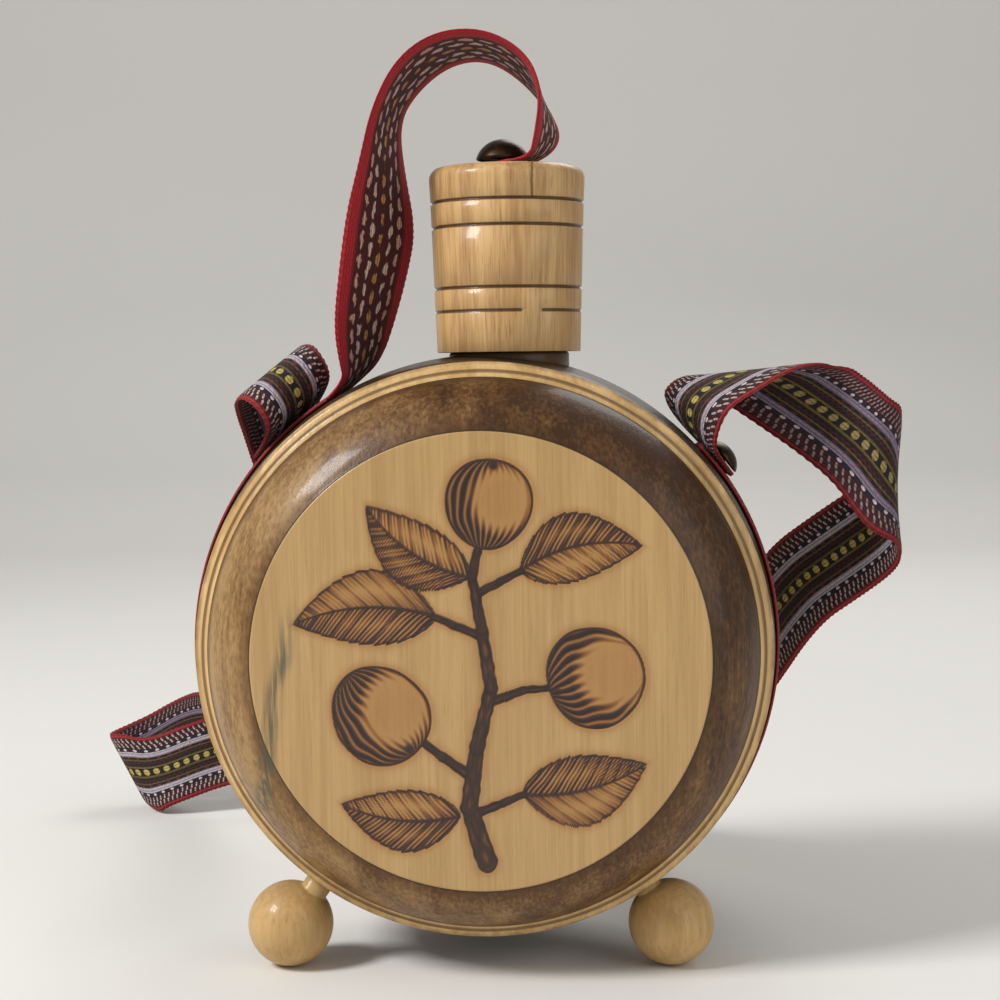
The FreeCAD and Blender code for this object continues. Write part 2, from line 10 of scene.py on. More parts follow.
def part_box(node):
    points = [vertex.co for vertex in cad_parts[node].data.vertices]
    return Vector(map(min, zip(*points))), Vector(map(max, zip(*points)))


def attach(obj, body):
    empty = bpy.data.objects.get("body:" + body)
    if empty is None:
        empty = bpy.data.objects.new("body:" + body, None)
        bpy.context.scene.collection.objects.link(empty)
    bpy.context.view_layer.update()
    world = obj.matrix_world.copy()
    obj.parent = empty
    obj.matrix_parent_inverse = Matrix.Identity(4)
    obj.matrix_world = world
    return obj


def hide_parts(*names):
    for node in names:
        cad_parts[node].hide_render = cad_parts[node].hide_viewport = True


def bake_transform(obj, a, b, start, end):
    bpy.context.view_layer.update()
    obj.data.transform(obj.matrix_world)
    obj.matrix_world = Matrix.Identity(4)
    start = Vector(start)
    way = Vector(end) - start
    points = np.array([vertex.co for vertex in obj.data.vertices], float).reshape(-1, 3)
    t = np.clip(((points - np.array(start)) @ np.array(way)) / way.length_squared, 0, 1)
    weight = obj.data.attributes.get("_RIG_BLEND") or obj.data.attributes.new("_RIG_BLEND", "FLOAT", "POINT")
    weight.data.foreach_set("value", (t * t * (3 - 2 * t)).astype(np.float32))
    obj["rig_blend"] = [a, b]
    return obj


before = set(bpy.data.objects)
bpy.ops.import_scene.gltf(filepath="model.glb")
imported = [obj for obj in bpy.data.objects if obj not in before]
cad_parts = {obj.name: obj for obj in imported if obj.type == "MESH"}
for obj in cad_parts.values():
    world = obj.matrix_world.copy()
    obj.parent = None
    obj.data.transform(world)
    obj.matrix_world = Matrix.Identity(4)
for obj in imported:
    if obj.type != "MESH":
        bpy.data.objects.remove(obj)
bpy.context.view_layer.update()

mm = 0.001
turn = 2 * math.pi

# The disc's centre and the neck's axis come from the frame
panelLow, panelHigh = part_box("front_panel")
discHeight = (panelLow[2] + panelHigh[2]) / 2
neckLow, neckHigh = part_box("neck")
neckSide = (neckLow[0] + neckHigh[0]) / 2
capLow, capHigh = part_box("cap")


# Camera
camera = {
    "place": (0.02168, -0.49875, 0.14772),
    "yaw": 2.065,  # degrees to the left
    "pitch": 3.916,  # degrees down
    "roll": -0.805,
    "focalPixels": 1986.35,
    "sensor": 36.0,
}


def addCamera():
    yaw, pitch, roll = (math.radians(camera[key]) for key in ("yaw", "pitch", "roll"))
    forward = Vector((-math.sin(yaw) * math.cos(pitch), math.cos(yaw) * math.cos(pitch), -math.sin(pitch)))
    level = Vector((math.cos(yaw), math.sin(yaw), 0))
    upright = level.cross(forward)
    right = level * math.cos(roll) + upright * math.sin(roll)
    up = upright * math.cos(roll) - level * math.sin(roll)
    data = bpy.data.cameras.new("photoCamera")
    data.sensor_width = camera["sensor"]
    data.lens = camera["focalPixels"] / 1000 * camera["sensor"]
    data.clip_start = 0.01
    item = bpy.data.objects.new("photoCamera", data)
    bpy.context.scene.collection.objects.link(item)
    turned = Matrix((right, up, -forward)).transposed().to_4x4()
    item.matrix_world = Matrix.Translation(camera["place"]) @ turned
    bpy.context.scene.camera = item


addCamera()
bpy.context.scene.view_settings.view_transform = "Standard"
print("camera set")


# Shader helpers
def tint(red, green, blue):  # a colour as seen on a screen, 0 to 255
    shares = [channel / 255 for channel in (red, green, blue)]
    linear = [share / 12.92 if share <= 0.04045 else ((share + 0.055) / 1.055) ** 2.4 for share in shares]
    return (*linear, 1.0)


def put(tree, kind, inputs=None, **settings):
    node = tree.nodes.new(kind)
    for key, item in settings.items():
        setattr(node, key, item)
    for key, item in (inputs or {}).items():
        if isinstance(item, bpy.types.NodeSocket):
            tree.links.new(item, node.inputs[key])
        else:
            node.inputs[key].default_value = item
    return node


def calc(tree, operation, *values, clamp=False):
    inputs = dict(enumerate(values))
    return put(tree, "ShaderNodeMath", inputs, operation=operation, use_clamp=clamp).outputs[0]


def times(tree, first, second):
    return calc(tree, "MULTIPLY", first, second)


def plus(tree, first, second, clamp=False):
    return calc(tree, "ADD", first, second, clamp=clamp)


def minus(tree, first, second):
    return calc(tree, "SUBTRACT", first, second)


def blendTint(tree, share, first, second, mode="MIX"):
    inputs = {0: share, 6: first, 7: second}
    return put(tree, "ShaderNodeMix", inputs, data_type="RGBA", blend_type=mode).outputs[2]


def ease(tree, value, low, high):  # 0 at low, 1 at high, soft between
    inputs = {"Value": value, "From Min": low, "From Max": high}
    return put(tree, "ShaderNodeMapRange", inputs, interpolation_type="SMOOTHSTEP").outputs[0]


def ramp(tree, share, stops):
    node = put(tree, "ShaderNodeValToRGB", {0: share})
    elements = node.color_ramp.elements
    while len(elements) < len(stops):
        elements.new(0.5)
    for element, (position, colour) in zip(elements, sorted(stops, key=lambda stop: stop[0])):
        element.position = position
        element.color = colour
    return node.outputs[0]


def noise(tree, vector, scale, detail=3.0, roughness=0.55, distortion=0.0):
    inputs = {"Vector": vector, "Scale": scale, "Detail": detail, "Roughness": roughness,
              "Distortion": distortion}
    return put(tree, "ShaderNodeTexNoise", inputs).outputs[0]


def stretch(tree, vector, across, deep, along):
    scales = put(tree, "ShaderNodeCombineXYZ", {0: across, 1: deep, 2: along}).outputs[0]
    return put(tree, "ShaderNodeVectorMath", {0: vector, 1: scales}, operation="MULTIPLY").outputs[0]


def newGroup(name, inputs, outputs):
    tree = bpy.data.node_groups.new(name, "ShaderNodeTree")
    for label, kind in inputs:
        tree.interface.new_socket(label, in_out="INPUT", socket_type="NodeSocket" + kind)
    for label, kind in outputs:
        tree.interface.new_socket(label, in_out="OUTPUT", socket_type="NodeSocket" + kind)
    return tree, tree.nodes.new("NodeGroupInput").outputs, tree.nodes.new("NodeGroupOutput").inputs


def useGroup(tree, group, **inputs):
    node = tree.nodes.new("ShaderNodeGroup")
    node.node_tree = group
    for key, item in inputs.items():
        if isinstance(item, bpy.types.NodeSocket):
            tree.links.new(item, node.inputs[key])
        else:
            node.inputs[key].default_value = item
    return node.outputs


def newMaterial(name, **settings):  # settings are plain shader values
    material = bpy.data.materials.new(name)
    material.use_nodes = True
    shader = material.node_tree.nodes["Principled BSDF"]
    for key, item in settings.items():
        shader.inputs[key.replace("_", " ")].default_value = item
    return material, material.node_tree, shader


def dress(tree, shader, colour, height, distance):
    tree.links.new(colour, shader.inputs["Base Color"])
    bump = put(tree, "ShaderNodeBump", {"Height": height, "Distance": distance, "Strength": 0.6})
    tree.links.new(bump.outputs[0], shader.inputs["Normal"])


def objectPlace(tree):
    return put(tree, "ShaderNodeTexCoord").outputs["Object"]


def split(tree, vector):
    return put(tree, "ShaderNodeSeparateXYZ", {0: vector}).outputs


# Wood grain that runs up the Z axis
def grainGroup():
    tree, given, out = newGroup("woodGrain", [("Place", "Vector"), ("Across", "Float"), ("Along", "Float")],
                                [("Tone", "Float"), ("Pores", "Float"), ("Height", "Float")])
    broad = noise(tree, stretch(tree, given["Place"], given["Across"], given["Across"], given["Along"]),
                  1.0, 4.0, 0.55, 0.5)
    fineAcross = times(tree, given["Across"], 7.0)
    fineAlong = times(tree, given["Along"], 2.0)
    fine = noise(tree, stretch(tree, given["Place"], fineAcross, fineAcross, fineAlong), 1.0, 3.0)
    poreAcross = times(tree, given["Across"], 17.0)
    poreAlong = times(tree, given["Along"], 5.0)
    pores = noise(tree, stretch(tree, given["Place"], poreAcross, poreAcross, poreAlong), 1.0, 2.0)
    pores = ease(tree, pores, 0.60, 0.72)
    tone = plus(tree, times(tree, broad, 0.55), times(tree, fine, 0.45))
    tree.links.new(ease(tree, tone, 0.34, 0.66), out["Tone"])
    tree.links.new(pores, out["Pores"])
    tree.links.new(minus(tree, fine, pores), out["Height"])
    return tree


# Grey-green streak in the wood at the lower left of the front
mineral = {
    "top": (-44.1 * mm, 93.6 * mm),  # across and up
    "bottom": (-52.8 * mm, 42.0 * mm),
    "halfWidth": 3.2 * mm,
    "wander": 3.0 * mm,
}


def mineralGroup():
    tree, given, out = newGroup("mineralStreak", [("Place", "Vector")], [("Mask", "Float")])
    across, deep, up = split(tree, given["Place"])
    wayAcross = mineral["bottom"][0] - mineral["top"][0]
    wayUp = mineral["bottom"][1] - mineral["top"][1]
    reach = math.hypot(wayAcross, wayUp)
    fromAcross = minus(tree, across, mineral["top"][0])
    fromUp = minus(tree, up, mineral["top"][1])
    along = plus(tree, times(tree, fromAcross, wayAcross / reach**2),
                 times(tree, fromUp, wayUp / reach**2))
    aside = minus(tree, times(tree, fromAcross, wayUp / reach),
                  times(tree, fromUp, wayAcross / reach))
    wander = times(tree, minus(tree, noise(tree, given["Place"], 60.0), 0.5),
                   mineral["wander"])
    band = ease(tree, calc(tree, "ABSOLUTE", plus(tree, aside, wander)), mineral["halfWidth"], 0.0)
    window = times(tree, ease(tree, along, -0.05, 0.25), ease(tree, along, 1.04, 0.96))
    strands = noise(tree, stretch(tree, given["Place"], 900.0, 900.0, 60.0), 1.0, 2.0)
    mask = times(tree, times(tree, band, window), ease(tree, strands, 0.35, 0.6))
    front = ease(tree, deep, 0.0, -5 * mm)
    tree.links.new(times(tree, mask, front), out["Mask"])
    return tree


woodGrain = grainGroup()
mineralStreak = mineralGroup()
streakTint = tint(72, 76, 60)

lacquer = {"Roughness": 0.42, "Specular_IOR_Level": 0.25, "Coat_Weight": 0.16, "Coat_Roughness": 0.12}


def panelMaterial():
    # Pale disc, stained ring outside it and a thin burnt line between
    stain = {"discRadius": 54.0 * mm, "lineWidth": 0.55 * mm, "outerRadius": 66.3 * mm,
             "dark": tint(64, 40, 19), "light": tint(162, 128, 82)}
    material, tree, shader = newMaterial("panelWood", **lacquer)
    place = objectPlace(tree)
    across, deep, up = split(tree, place)
    lift = minus(tree, up, discHeight)
    radius = calc(tree, "SQRT", plus(tree, times(tree, across, across),
                                     times(tree, lift, lift)))
    grain = useGroup(tree, woodGrain, Place=place, Across=210.0, Along=20.0)
    pale = ramp(tree, grain["Tone"], [(0.0, tint(170, 134, 82)), (1.0, tint(188, 152, 98))])
    # Painted light and shade over the stain: the ring is painted lighter at the left, towards the light, and
    # darker at the top right
    corner = plus(tree, times(tree, across, 4.0), times(tree, lift, 8.0))
    corner = calc(tree, "MAXIMUM", minus(tree, corner, 0.18), 0.0)
    side = minus(tree, times(tree, across, -5.0), corner)
    patches = minus(tree, noise(tree, stretch(tree, place, 110.0, 110.0, 16.0), 1.0, 3.0), 0.5)
    speckle = minus(tree, noise(tree, stretch(tree, place, 1100.0, 1100.0, 520.0), 1.0, 2.0), 0.5)
    share = plus(tree, plus(tree, side, 0.55), times(tree, patches, 0.9))
    share = plus(tree, share, times(tree, speckle, 0.9))
    share = plus(tree, share, times(tree, minus(tree, grain["Tone"], 0.5), 0.35),
                 clamp=True)
    inner = ease(tree, radius, stain["discRadius"] + 4.5 * mm, stain["discRadius"])
    outer = ease(tree, radius, stain["outerRadius"] - 1.6 * mm, stain["outerRadius"])
    share = times(tree, share, minus(tree, 1.0, times(tree, inner, 0.5)))
    share = times(tree, share, minus(tree, 1.0, times(tree, outer, 0.7)))
    ring = ramp(tree, share, [(0.0, stain["dark"]), (0.35, tint(100, 68, 36)), (0.7, tint(136, 103, 61)),
                              (1.0, stain["light"])])
    outside = ease(tree, radius, stain["discRadius"], stain["discRadius"] + 0.3 * mm)
    colour = blendTint(tree, outside, pale, ring)
    line = ease(tree, calc(tree, "ABSOLUTE", minus(tree, radius, stain["discRadius"])),
                stain["lineWidth"], 0.1 * mm)
    colour = blendTint(tree, times(tree, line, 0.9), colour, tint(40, 24, 13))
    streak = useGroup(tree, mineralStreak, Place=place)["Mask"]
    colour = blendTint(tree, times(tree, streak, 0.95), colour, streakTint)
    dress(tree, shader, colour, grain["Height"], 0.00012)
    return material


def pictureMaterial():
    # Pale maple with the burnt drawing, which the mesh carries as an attribute
    material, tree, shader = newMaterial("burntPicture", Roughness=0.42, Coat_Weight=0.3, Coat_Roughness=0.2)
    place = objectPlace(tree)
    grain = useGroup(tree, woodGrain, Place=place, Across=210.0, Along=16.0)
    pale = ramp(tree, grain["Tone"], [(0.0, tint(173, 137, 85)), (1.0, tint(190, 154, 100))])
    pale = blendTint(tree, times(tree, grain["Pores"], 0.2), pale, tint(132, 98, 56))
    drawn = put(tree, "ShaderNodeAttribute", attribute_name="burn")
    parts = put(tree, "ShaderNodeSeparateColor", {0: drawn.outputs["Color"]}).outputs
    warm = times(tree, parts[1], 0.75)
    colour = blendTint(tree, warm, pale, tint(150, 98, 40))
    burnt = ramp(tree, parts[0], [(0.0, tint(198, 154, 88)), (0.35, tint(134, 86, 38)),
                                  (0.6, tint(66, 36, 17)), (1.0, tint(28, 14, 8))])
    colour = blendTint(tree, ease(tree, parts[0], 0.02, 0.3), colour, burnt)
    streak = useGroup(tree, mineralStreak, Place=place)["Mask"]
    colour = blendTint(tree, times(tree, streak, 0.85), colour, streakTint)
    height = minus(tree, times(tree, grain["Height"], 0.3), parts[0])
    dress(tree, shader, colour, height, 0.00016)
    return material


def barrelMaterial():
    # Dark stain on the belly, pale beads with thin burnt lines at both rims
    edge = {"bead": 23.0 * mm, "line": 25.0 * mm, "rim": 27.0 * mm, "lineWidth": 0.42 * mm,
            "chip": (-51.6 * mm, 40.6 * mm), "chipRadius": 1.9 * mm}
    material, tree, shader = newMaterial("barrelWood", **lacquer)
    place = objectPlace(tree)
    across, deep, up = split(tree, place)
    depth = calc(tree, "ABSOLUTE", deep)
    grain = useGroup(tree, woodGrain, Place=place, Across=120.0, Along=22.0)
    pale = ramp(tree, grain["Tone"], [(0.0, tint(186, 148, 94)), (1.0, tint(214, 180, 126))])
    dark = ramp(tree, grain["Tone"], [(0.0, tint(36, 24, 13)), (1.0, tint(74, 50, 27))])
    wobble = times(tree, minus(tree, noise(tree, place, 160.0), 0.5), 0.8 * mm)
    edgeDepth = plus(tree, depth, wobble)
    onBead = ease(tree, edgeDepth, edge["bead"] - 0.5 * mm, edge["bead"] + 0.3 * mm)
    colour = blendTint(tree, onBead, dark, pale)
    for where in ("line", "rim"):
        fromLine = calc(tree, "ABSOLUTE", minus(tree, depth, edge[where]))
        line = ease(tree, fromLine, edge["lineWidth"], 0.08 * mm)
        colour = blendTint(tree, times(tree, line, 0.75), colour, tint(84, 56, 28))
    streak = useGroup(tree, mineralStreak, Place=place)["Mask"]
    colour = blendTint(tree, times(tree, streak, 0.9), colour, streakTint)
    chipAcross = minus(tree, across, edge["chip"][0])
    chipUp = minus(tree, up, edge["chip"][1])
    away = calc(tree, "SQRT", plus(tree, times(tree, chipAcross, chipAcross),
                                   times(tree, chipUp, chipUp)))
    chip = ease(tree, plus(tree, away, wobble), edge["chipRadius"], edge["chipRadius"] * 0.6)
    chip = times(tree, chip, ease(tree, deep, -18 * mm, -22 * mm))
    colour = blendTint(tree, chip, colour, tint(38, 28, 20))
    dress(tree, shader, colour, grain["Height"], 0.00012)
    return material


# The split at the top of the cap
capCrack = {"side": 6.6 * mm, "wander": 1.1 * mm, "halfWidth": 0.5 * mm, "core": 0.05 * mm, "end": 9.3 * mm,
            "fade": 8.3 * mm}


def turnedMaterial(name, low, high, pore, across, along, crack=False, **settings):
    # Plain turned wood; burnt grooves and the painted shade on the neck's collar come from the mesh
    material, tree, shader = newMaterial(name, **{**lacquer, **settings})
    place = objectPlace(tree)
    grain = useGroup(tree, woodGrain, Place=place, Across=across, Along=along)
    colour = ramp(tree, grain["Tone"], [(0.0, low), (1.0, high)])
    colour = blendTint(tree, times(tree, grain["Pores"], 0.55), colour, pore)
    if crack:
        side, deep, up = split(tree, place)
        wander = times(tree, minus(tree, noise(tree, place, 300.0), 0.5),
                       capCrack["wander"])
        offset = minus(tree, plus(tree, side, wander), neckSide + capCrack["side"])
        line = ease(tree, calc(tree, "ABSOLUTE", offset), capCrack["halfWidth"], capCrack["core"])
        upper = ease(tree, up, capHigh[2] - capCrack["end"], capHigh[2] - capCrack["fade"])
        front = ease(tree, deep, 0.0, -2 * mm)
        mask = times(tree, times(tree, line, upper), front)
        colour = blendTint(tree, times(tree, mask, 0.85), colour, tint(92, 62, 34))
    # The burn attribute holds the burnt grooves and the painted shade under the cap
    burn = put(tree, "ShaderNodeAttribute", attribute_name="burn").outputs["Fac"]
    colour = blendTint(tree, times(tree, burn, 0.9), colour, tint(62, 38, 18))
    dress(tree, shader, colour, grain["Height"], 0.00007)
    return material


def bronzeMaterial():
    # Dark old bronze, its colour painted darker still as painted shade on every tack
    material, tree, shader = newMaterial("darkBronzeInPaintedShade", Metallic=0.9, Roughness=0.38)
    place = objectPlace(tree)
    wear = noise(tree, place, 420.0, 4.0)
    colour = ramp(tree, wear, [(0.3, tint(36, 28, 21)), (0.7, tint(82, 66, 46))])
    dress(tree, shader, colour, wear, 0.0001)
    return material


def corkMaterial():
    material, tree, shader = newMaterial("naturalCork", Roughness=0.85)
    place = objectPlace(tree)
    cells = put(tree, "ShaderNodeTexVoronoi", {"Vector": place, "Scale": 900.0}).outputs["Distance"]
    pits = ease(tree, noise(tree, place, 420.0), 0.58, 0.7)
    colour = ramp(tree, cells, [(0.0, tint(196, 150, 100)), (1.0, tint(160, 112, 68))])
    colour = blendTint(tree, pits, colour, tint(84, 52, 30))
    dress(tree, shader, colour, minus(tree, cells, pits), 0.0003)
    return material


# Woven strap: colours across the braid, rows of floats along it
braid = {
    "pitch": 3.45,  # millimetres between the yellow floats
    "halfWidth": 12.5,
    "yarn": 0.86,
    "secondFace": 100.0,  # what the UV map adds across the second face
    # Millimetres from the middle, shift, share of the pitch, half-length, half-width, slant,
    # and the colour on each face: the first face in painted shade, the second face as lit
    "floats": [
        (0.0, 0.0, 1.0, 1.05, 1.1, 0.0, (168, 148, 88), (206, 184, 96)),
        (2.75, 0.0, 0.5, 0.55, 0.34, 0.0, (24, 15, 17), (24, 15, 17)),
        (3.4, 0.5, 0.5, 0.55, 0.34, 0.0, (24, 15, 17), (24, 15, 17)),
        (4.55, 0.3, 1.0, 0.7, 0.36, 0.0, (92, 20, 25), (116, 28, 30)),
        (7.2, 0.2, 1.0, 0.6, 0.45, 0.0, (214, 186, 192), (226, 214, 218)),
        (8.7, 0.0, 0.5, 0.3, 0.72, 0.35, (158, 132, 130), (208, 188, 180)),
        (10.1, 0.5, 0.5, 0.3, 0.72, 0.35, (158, 132, 130), (208, 188, 180)),
        (10.95, 0.0, 0.5, 0.5, 0.35, 0.0, (66, 14, 20), (66, 14, 20)),
    ],
}


def floatRowGroup():
    # One row of oval floats: 1 inside them
    names = ["Along", "Across", "Pitch", "Shift", "Row", "HalfLength", "HalfWidth", "Slant"]
    tree, given, out = newGroup("floatRow", [(name, "Float") for name in names], [("Mask", "Float")])
    aside = minus(tree, given["Across"], given["Row"])
    along = plus(tree, given["Along"], times(tree, aside, given["Slant"]))
    turns = plus(tree, calc(tree, "DIVIDE", along, given["Pitch"]), given["Shift"])
    part = minus(tree, calc(tree, "FRACT", turns), 0.5)
    far = calc(tree, "DIVIDE", times(tree, part, given["Pitch"]), given["HalfLength"])
    wide = calc(tree, "DIVIDE", aside, given["HalfWidth"])
    reach = plus(tree, times(tree, far, far), times(tree, wide, wide))
    tree.links.new(ease(tree, reach, 1.25, 0.7), out["Mask"])
    return tree


floatRow = floatRowGroup()


def weaveBump(tree, along, across):
    # Warp yarns side by side, each crossing the weft half a step later than its neighbour
    turns = calc(tree, "DIVIDE", across, braid["yarn"])
    column = calc(tree, "FLOOR", turns)
    ridge = calc(tree, "SINE", times(tree, calc(tree, "FRACT", turns), math.pi))
    step = plus(tree, calc(tree, "DIVIDE", along, braid["pitch"] / 2), times(tree, column, 0.5))
    lifted = calc(tree, "SINE", times(tree, step, turn))
    crossing = plus(tree, times(tree, lifted, 0.3), 0.7)
    return times(tree, ridge, crossing)


def strapPlace(tree):
    # The UV map holds millimetres: along the strap, and across it with more on the second face
    uv = put(tree, "ShaderNodeUVMap", uv_map="strap").outputs[0]
    along, across, spare = split(tree, uv)
    second = calc(tree, "GREATER_THAN", across, braid["secondFace"] / 2)
    across = minus(tree, across, times(tree, second, braid["secondFace"]))
    return along, calc(tree, "ABSOLUTE", across), second


def fuzzShadeAndBump(tree, shader, colour, along, across):
    fuzz = noise(tree, objectPlace(tree), 2600.0, 2.0)
    fluff = ramp(tree, fuzz, [(0.3, tint(120, 120, 120)), (0.7, tint(255, 255, 255))])
    colour = blendTint(tree, 0.5, colour, fluff, "MULTIPLY")
    height = weaveBump(tree, along, across)
    # Painted shade: the hollows between the yarns are darkened
    shade = ramp(tree, height, [(0.0, tint(96, 96, 96)), (0.45, tint(255, 255, 255))])
    colour = blendTint(tree, 0.75, colour, shade, "MULTIPLY")
    dress(tree, shader, colour, height, 0.00035)


def carryMaterial():
    material, tree, shader = newMaterial("carryWeave", Roughness=0.82)
    along, across, second = strapPlace(tree)
    share = calc(tree, "DIVIDE", across, braid["halfWidth"])
    black, navy, wine = tint(22, 12, 12), tint(28, 22, 38), tint(62, 12, 18)
    olive, dimOlive, maroon = tint(124, 100, 44), tint(98, 78, 38), tint(82, 14, 20)

    def bandStops(lilac, edge):  # from the middle of the strap to its edge
        fields = [(0.0, 0.10, black), (0.11, 0.145, olive), (0.155, 0.19, black), (0.20, 0.285, maroon),
                  (0.29, 0.325, dimOlive), (0.335, 0.395, black), (0.405, 0.525, lilac), (0.535, 0.62, navy),
                  (0.63, 0.865, wine), (0.88, 1.0, edge)]
        return [(where, colour) for start, end, colour in fields for where in (start, end)]

    # One braid on both faces: the first face painted as a shaded copy, the second as a lit copy
    shadedFace = ramp(tree, share, bandStops(tint(138, 120, 138), tint(146, 24, 34)))
    litFace = ramp(tree, share, bandStops(tint(198, 184, 194), tint(166, 38, 40)))
    colour = blendTint(tree, second, shadedFace, litFace)
    for row, shift, pace, halfLength, halfWidth, slant, first, other in braid["floats"]:
        mask = useGroup(tree, floatRow, Along=along, Across=across, Pitch=braid["pitch"] * pace, Shift=shift,
                        Row=row, HalfLength=halfLength, HalfWidth=halfWidth, Slant=slant)["Mask"]
        colour = blendTint(tree, mask, colour, blendTint(tree, second, tint(*first), tint(*other)))
    fuzzShadeAndBump(tree, shader, colour, along, across)
    return material


def tetherMaterial():
    # The same braid shows its plainer side here: red edges, pale floats on a dark middle
    material, tree, shader = newMaterial("tetherWeave", Roughness=0.82)
    along, across, second = strapPlace(tree)
    share = calc(tree, "DIVIDE", across, braid["halfWidth"])
    loose = minus(tree, noise(tree, objectPlace(tree), 420.0, 1.0), 0.5)  # uneven floats
    looseAlong = plus(tree, along, times(tree, loose, 3.4))
    looseAcross = plus(tree, across, times(tree, loose, 2.2))
    colour = ramp(tree, share, [(0.0, tint(74, 10, 18)), (0.62, tint(74, 10, 18)), (0.68, tint(150, 16, 32)),
                                (0.72, tint(190, 25, 40)), (1.0, tint(190, 25, 40))])
    floats = [(0.0, 0.0, tint(196, 140, 84)), (3.3, 0.5, tint(226, 196, 186)),
              (6.4, 0.0, tint(214, 168, 150))]
    for row, shift, paint in floats:
        mask = useGroup(tree, floatRow, Along=looseAlong, Across=looseAcross, Pitch=braid["pitch"] * 1.4,
                        Shift=shift, Row=row, HalfLength=1.7, HalfWidth=0.72, Slant=0.55)["Mask"]
        colour = blendTint(tree, mask, colour, paint)
    fuzzShadeAndBump(tree, shader, colour, along, across)
    return material


materials = {
    "panel": panelMaterial(),
    "picture": pictureMaterial(),
    "barrel": barrelMaterial(),
    "cap": turnedMaterial("capWood", tint(168, 128, 82), tint(206, 168, 114), tint(120, 84, 50), 190.0, 16.0,
                          crack=True, Roughness=0.45, Coat_Weight=0.25),
    "pale": turnedMaterial("paleWood", tint(178, 142, 90), tint(200, 164, 110), tint(156, 116, 70),
                           110.0, 24.0),
    "bronze": bronzeMaterial(),
    "cork": corkMaterial(),
    "carry": carryMaterial(),
    "tether": tetherMaterial(),
}
print("materials made")


# Mesh helpers
def makeObject(name, bm, material, body, nodes):
    bmesh.ops.recalc_face_normals(bm, faces=bm.faces)
    mesh = bpy.data.meshes.new(name)
    bm.to_mesh(mesh)
    bm.free()
    mesh.polygons.foreach_set("use_smooth", [True] * len(mesh.polygons))
    mesh.update()
    mesh.materials.append(materials[material])
    item = bpy.data.objects.new(name, mesh)
    bpy.context.scene.collection.objects.link(item)
    if nodes:
        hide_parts(*nodes)
    if body:
        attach(item, body)
    return item


def curved(start, end, radius, count):
    # Points of a short arc from start to end; a positive radius bulges to the right of the way
    first, last = Vector(start), Vector(end)
    chord = last - first
    left = Vector((-chord.y, chord.x)).normalized()
    offset = math.sqrt(max(radius * radius - chord.length_squared / 4, 0))
    centre = (first + last) / 2 + left * math.copysign(offset, radius)
    begin = math.atan2(first.y - centre.y, first.x - centre.x)
    finish = math.atan2(last.y - centre.y, last.x - centre.x)
    sweep = (finish - begin + math.pi) % turn - math.pi
    size = abs(radius)
    return [(centre.x + size * math.cos(begin + sweep * step / count),
             centre.y + size * math.sin(begin + sweep * step / count)) for step in range(1, count)]


def lathe(profile, segments, closed, burns=None):
    # A profile of (radius, height) in millimetres, spun about Z
    bm = bmesh.new()
    layer = bm.verts.layers.float.new("burn")
    row = [bm.verts.new((radius * mm, 0, height * mm)) for radius, height in profile]
    for number, vert in enumerate(row):
        vert[layer] = burns.get(number, 0.0) if burns else 0.0
    edges = [bm.edges.new(pair) for pair in zip(row, row[1:])]
    if closed:
        edges.append(bm.edges.new((row[-1], row[0])))
    bmesh.ops.spin(bm, geom=row + edges, cent=(0, 0, 0), axis=(0, 0, 1), angle=turn, steps=segments,
                   use_merge=True)
    bmesh.ops.remove_doubles(bm, verts=bm.verts, dist=1e-6)
    return bm


def softened(corners, size=0.12):
    # Each corner of a profile becomes two points close beside it, so that smooth shading keeps it crisp
    points = []
    count = len(corners)
    for number, corner in enumerate(corners):
        if len(corner) == 3 or corner[0] == 0:  # a point of an arc, or one on the axis
            points.append(corner[:2])
            continue
        here = Vector(corner[:2])
        for other in (corners[number - 1], corners[(number + 1) % count]):
            way = Vector(other[:2]) - here
            points.append(tuple(here + way.normalized() * min(size, way.length * 0.4)))
    return points


def arc(start, end, radius, count=14):
    return [(*point, "arc") for point in curved(start, end, radius, count)]


toFront = Matrix.Translation((0, 0, discHeight)) @ Matrix.Rotation(math.pi / 2, 4, "X")
toRear = Matrix.Translation((0, 0, discHeight)) @ Matrix.Rotation(-math.pi / 2, 4, "X")


# Panels, in millimetres: radius, then depth from the middle of the barrel
panel = {
    "discRadius": 53.95, "crown": 41.1, "face": 40.92, "chamfer": 0.45, "edgeRadius": 66.35,
    "edgeDepth": 27.2, "domeRound": 22.0, "plugDepth": 21.5, "plugRadius": 60.5, "innerStart": 24.5,
    "innerDepth": 34.9, "innerFlat": 46.0, "innerRound": 20.0, "segments": 192,
}


def addPanel(name, node, place, face):
    shoulder = (panel["discRadius"] + panel["chamfer"], panel["crown"] - panel["chamfer"])
    edge = (panel["edgeRadius"], panel["edgeDepth"])
    innerTop = (panel["plugRadius"], panel["innerStart"])
    innerEnd = (panel["innerFlat"], panel["innerDepth"])
    profile = [(0, panel["innerDepth"]), innerEnd, *arc(innerEnd, innerTop, panel["innerRound"], 10),
               innerTop, (panel["plugRadius"], panel["plugDepth"]), (panel["edgeRadius"], panel["plugDepth"]),
               edge, *arc(edge, shoulder, panel["domeRound"], 22), shoulder, (panel["discRadius"], face),
               (0, face)]
    bm = lathe(softened(profile), panel["segments"], False)
    bmesh.ops.transform(bm, matrix=place, verts=bm.verts)
    return makeObject(name, bm, "panel", "flask", [node])


addPanel("front_panel_turned", "front_panel", toFront, panel["face"])
addPanel("rear_panel_turned", "rear_panel", toRear, panel["crown"])
print("panels turned")


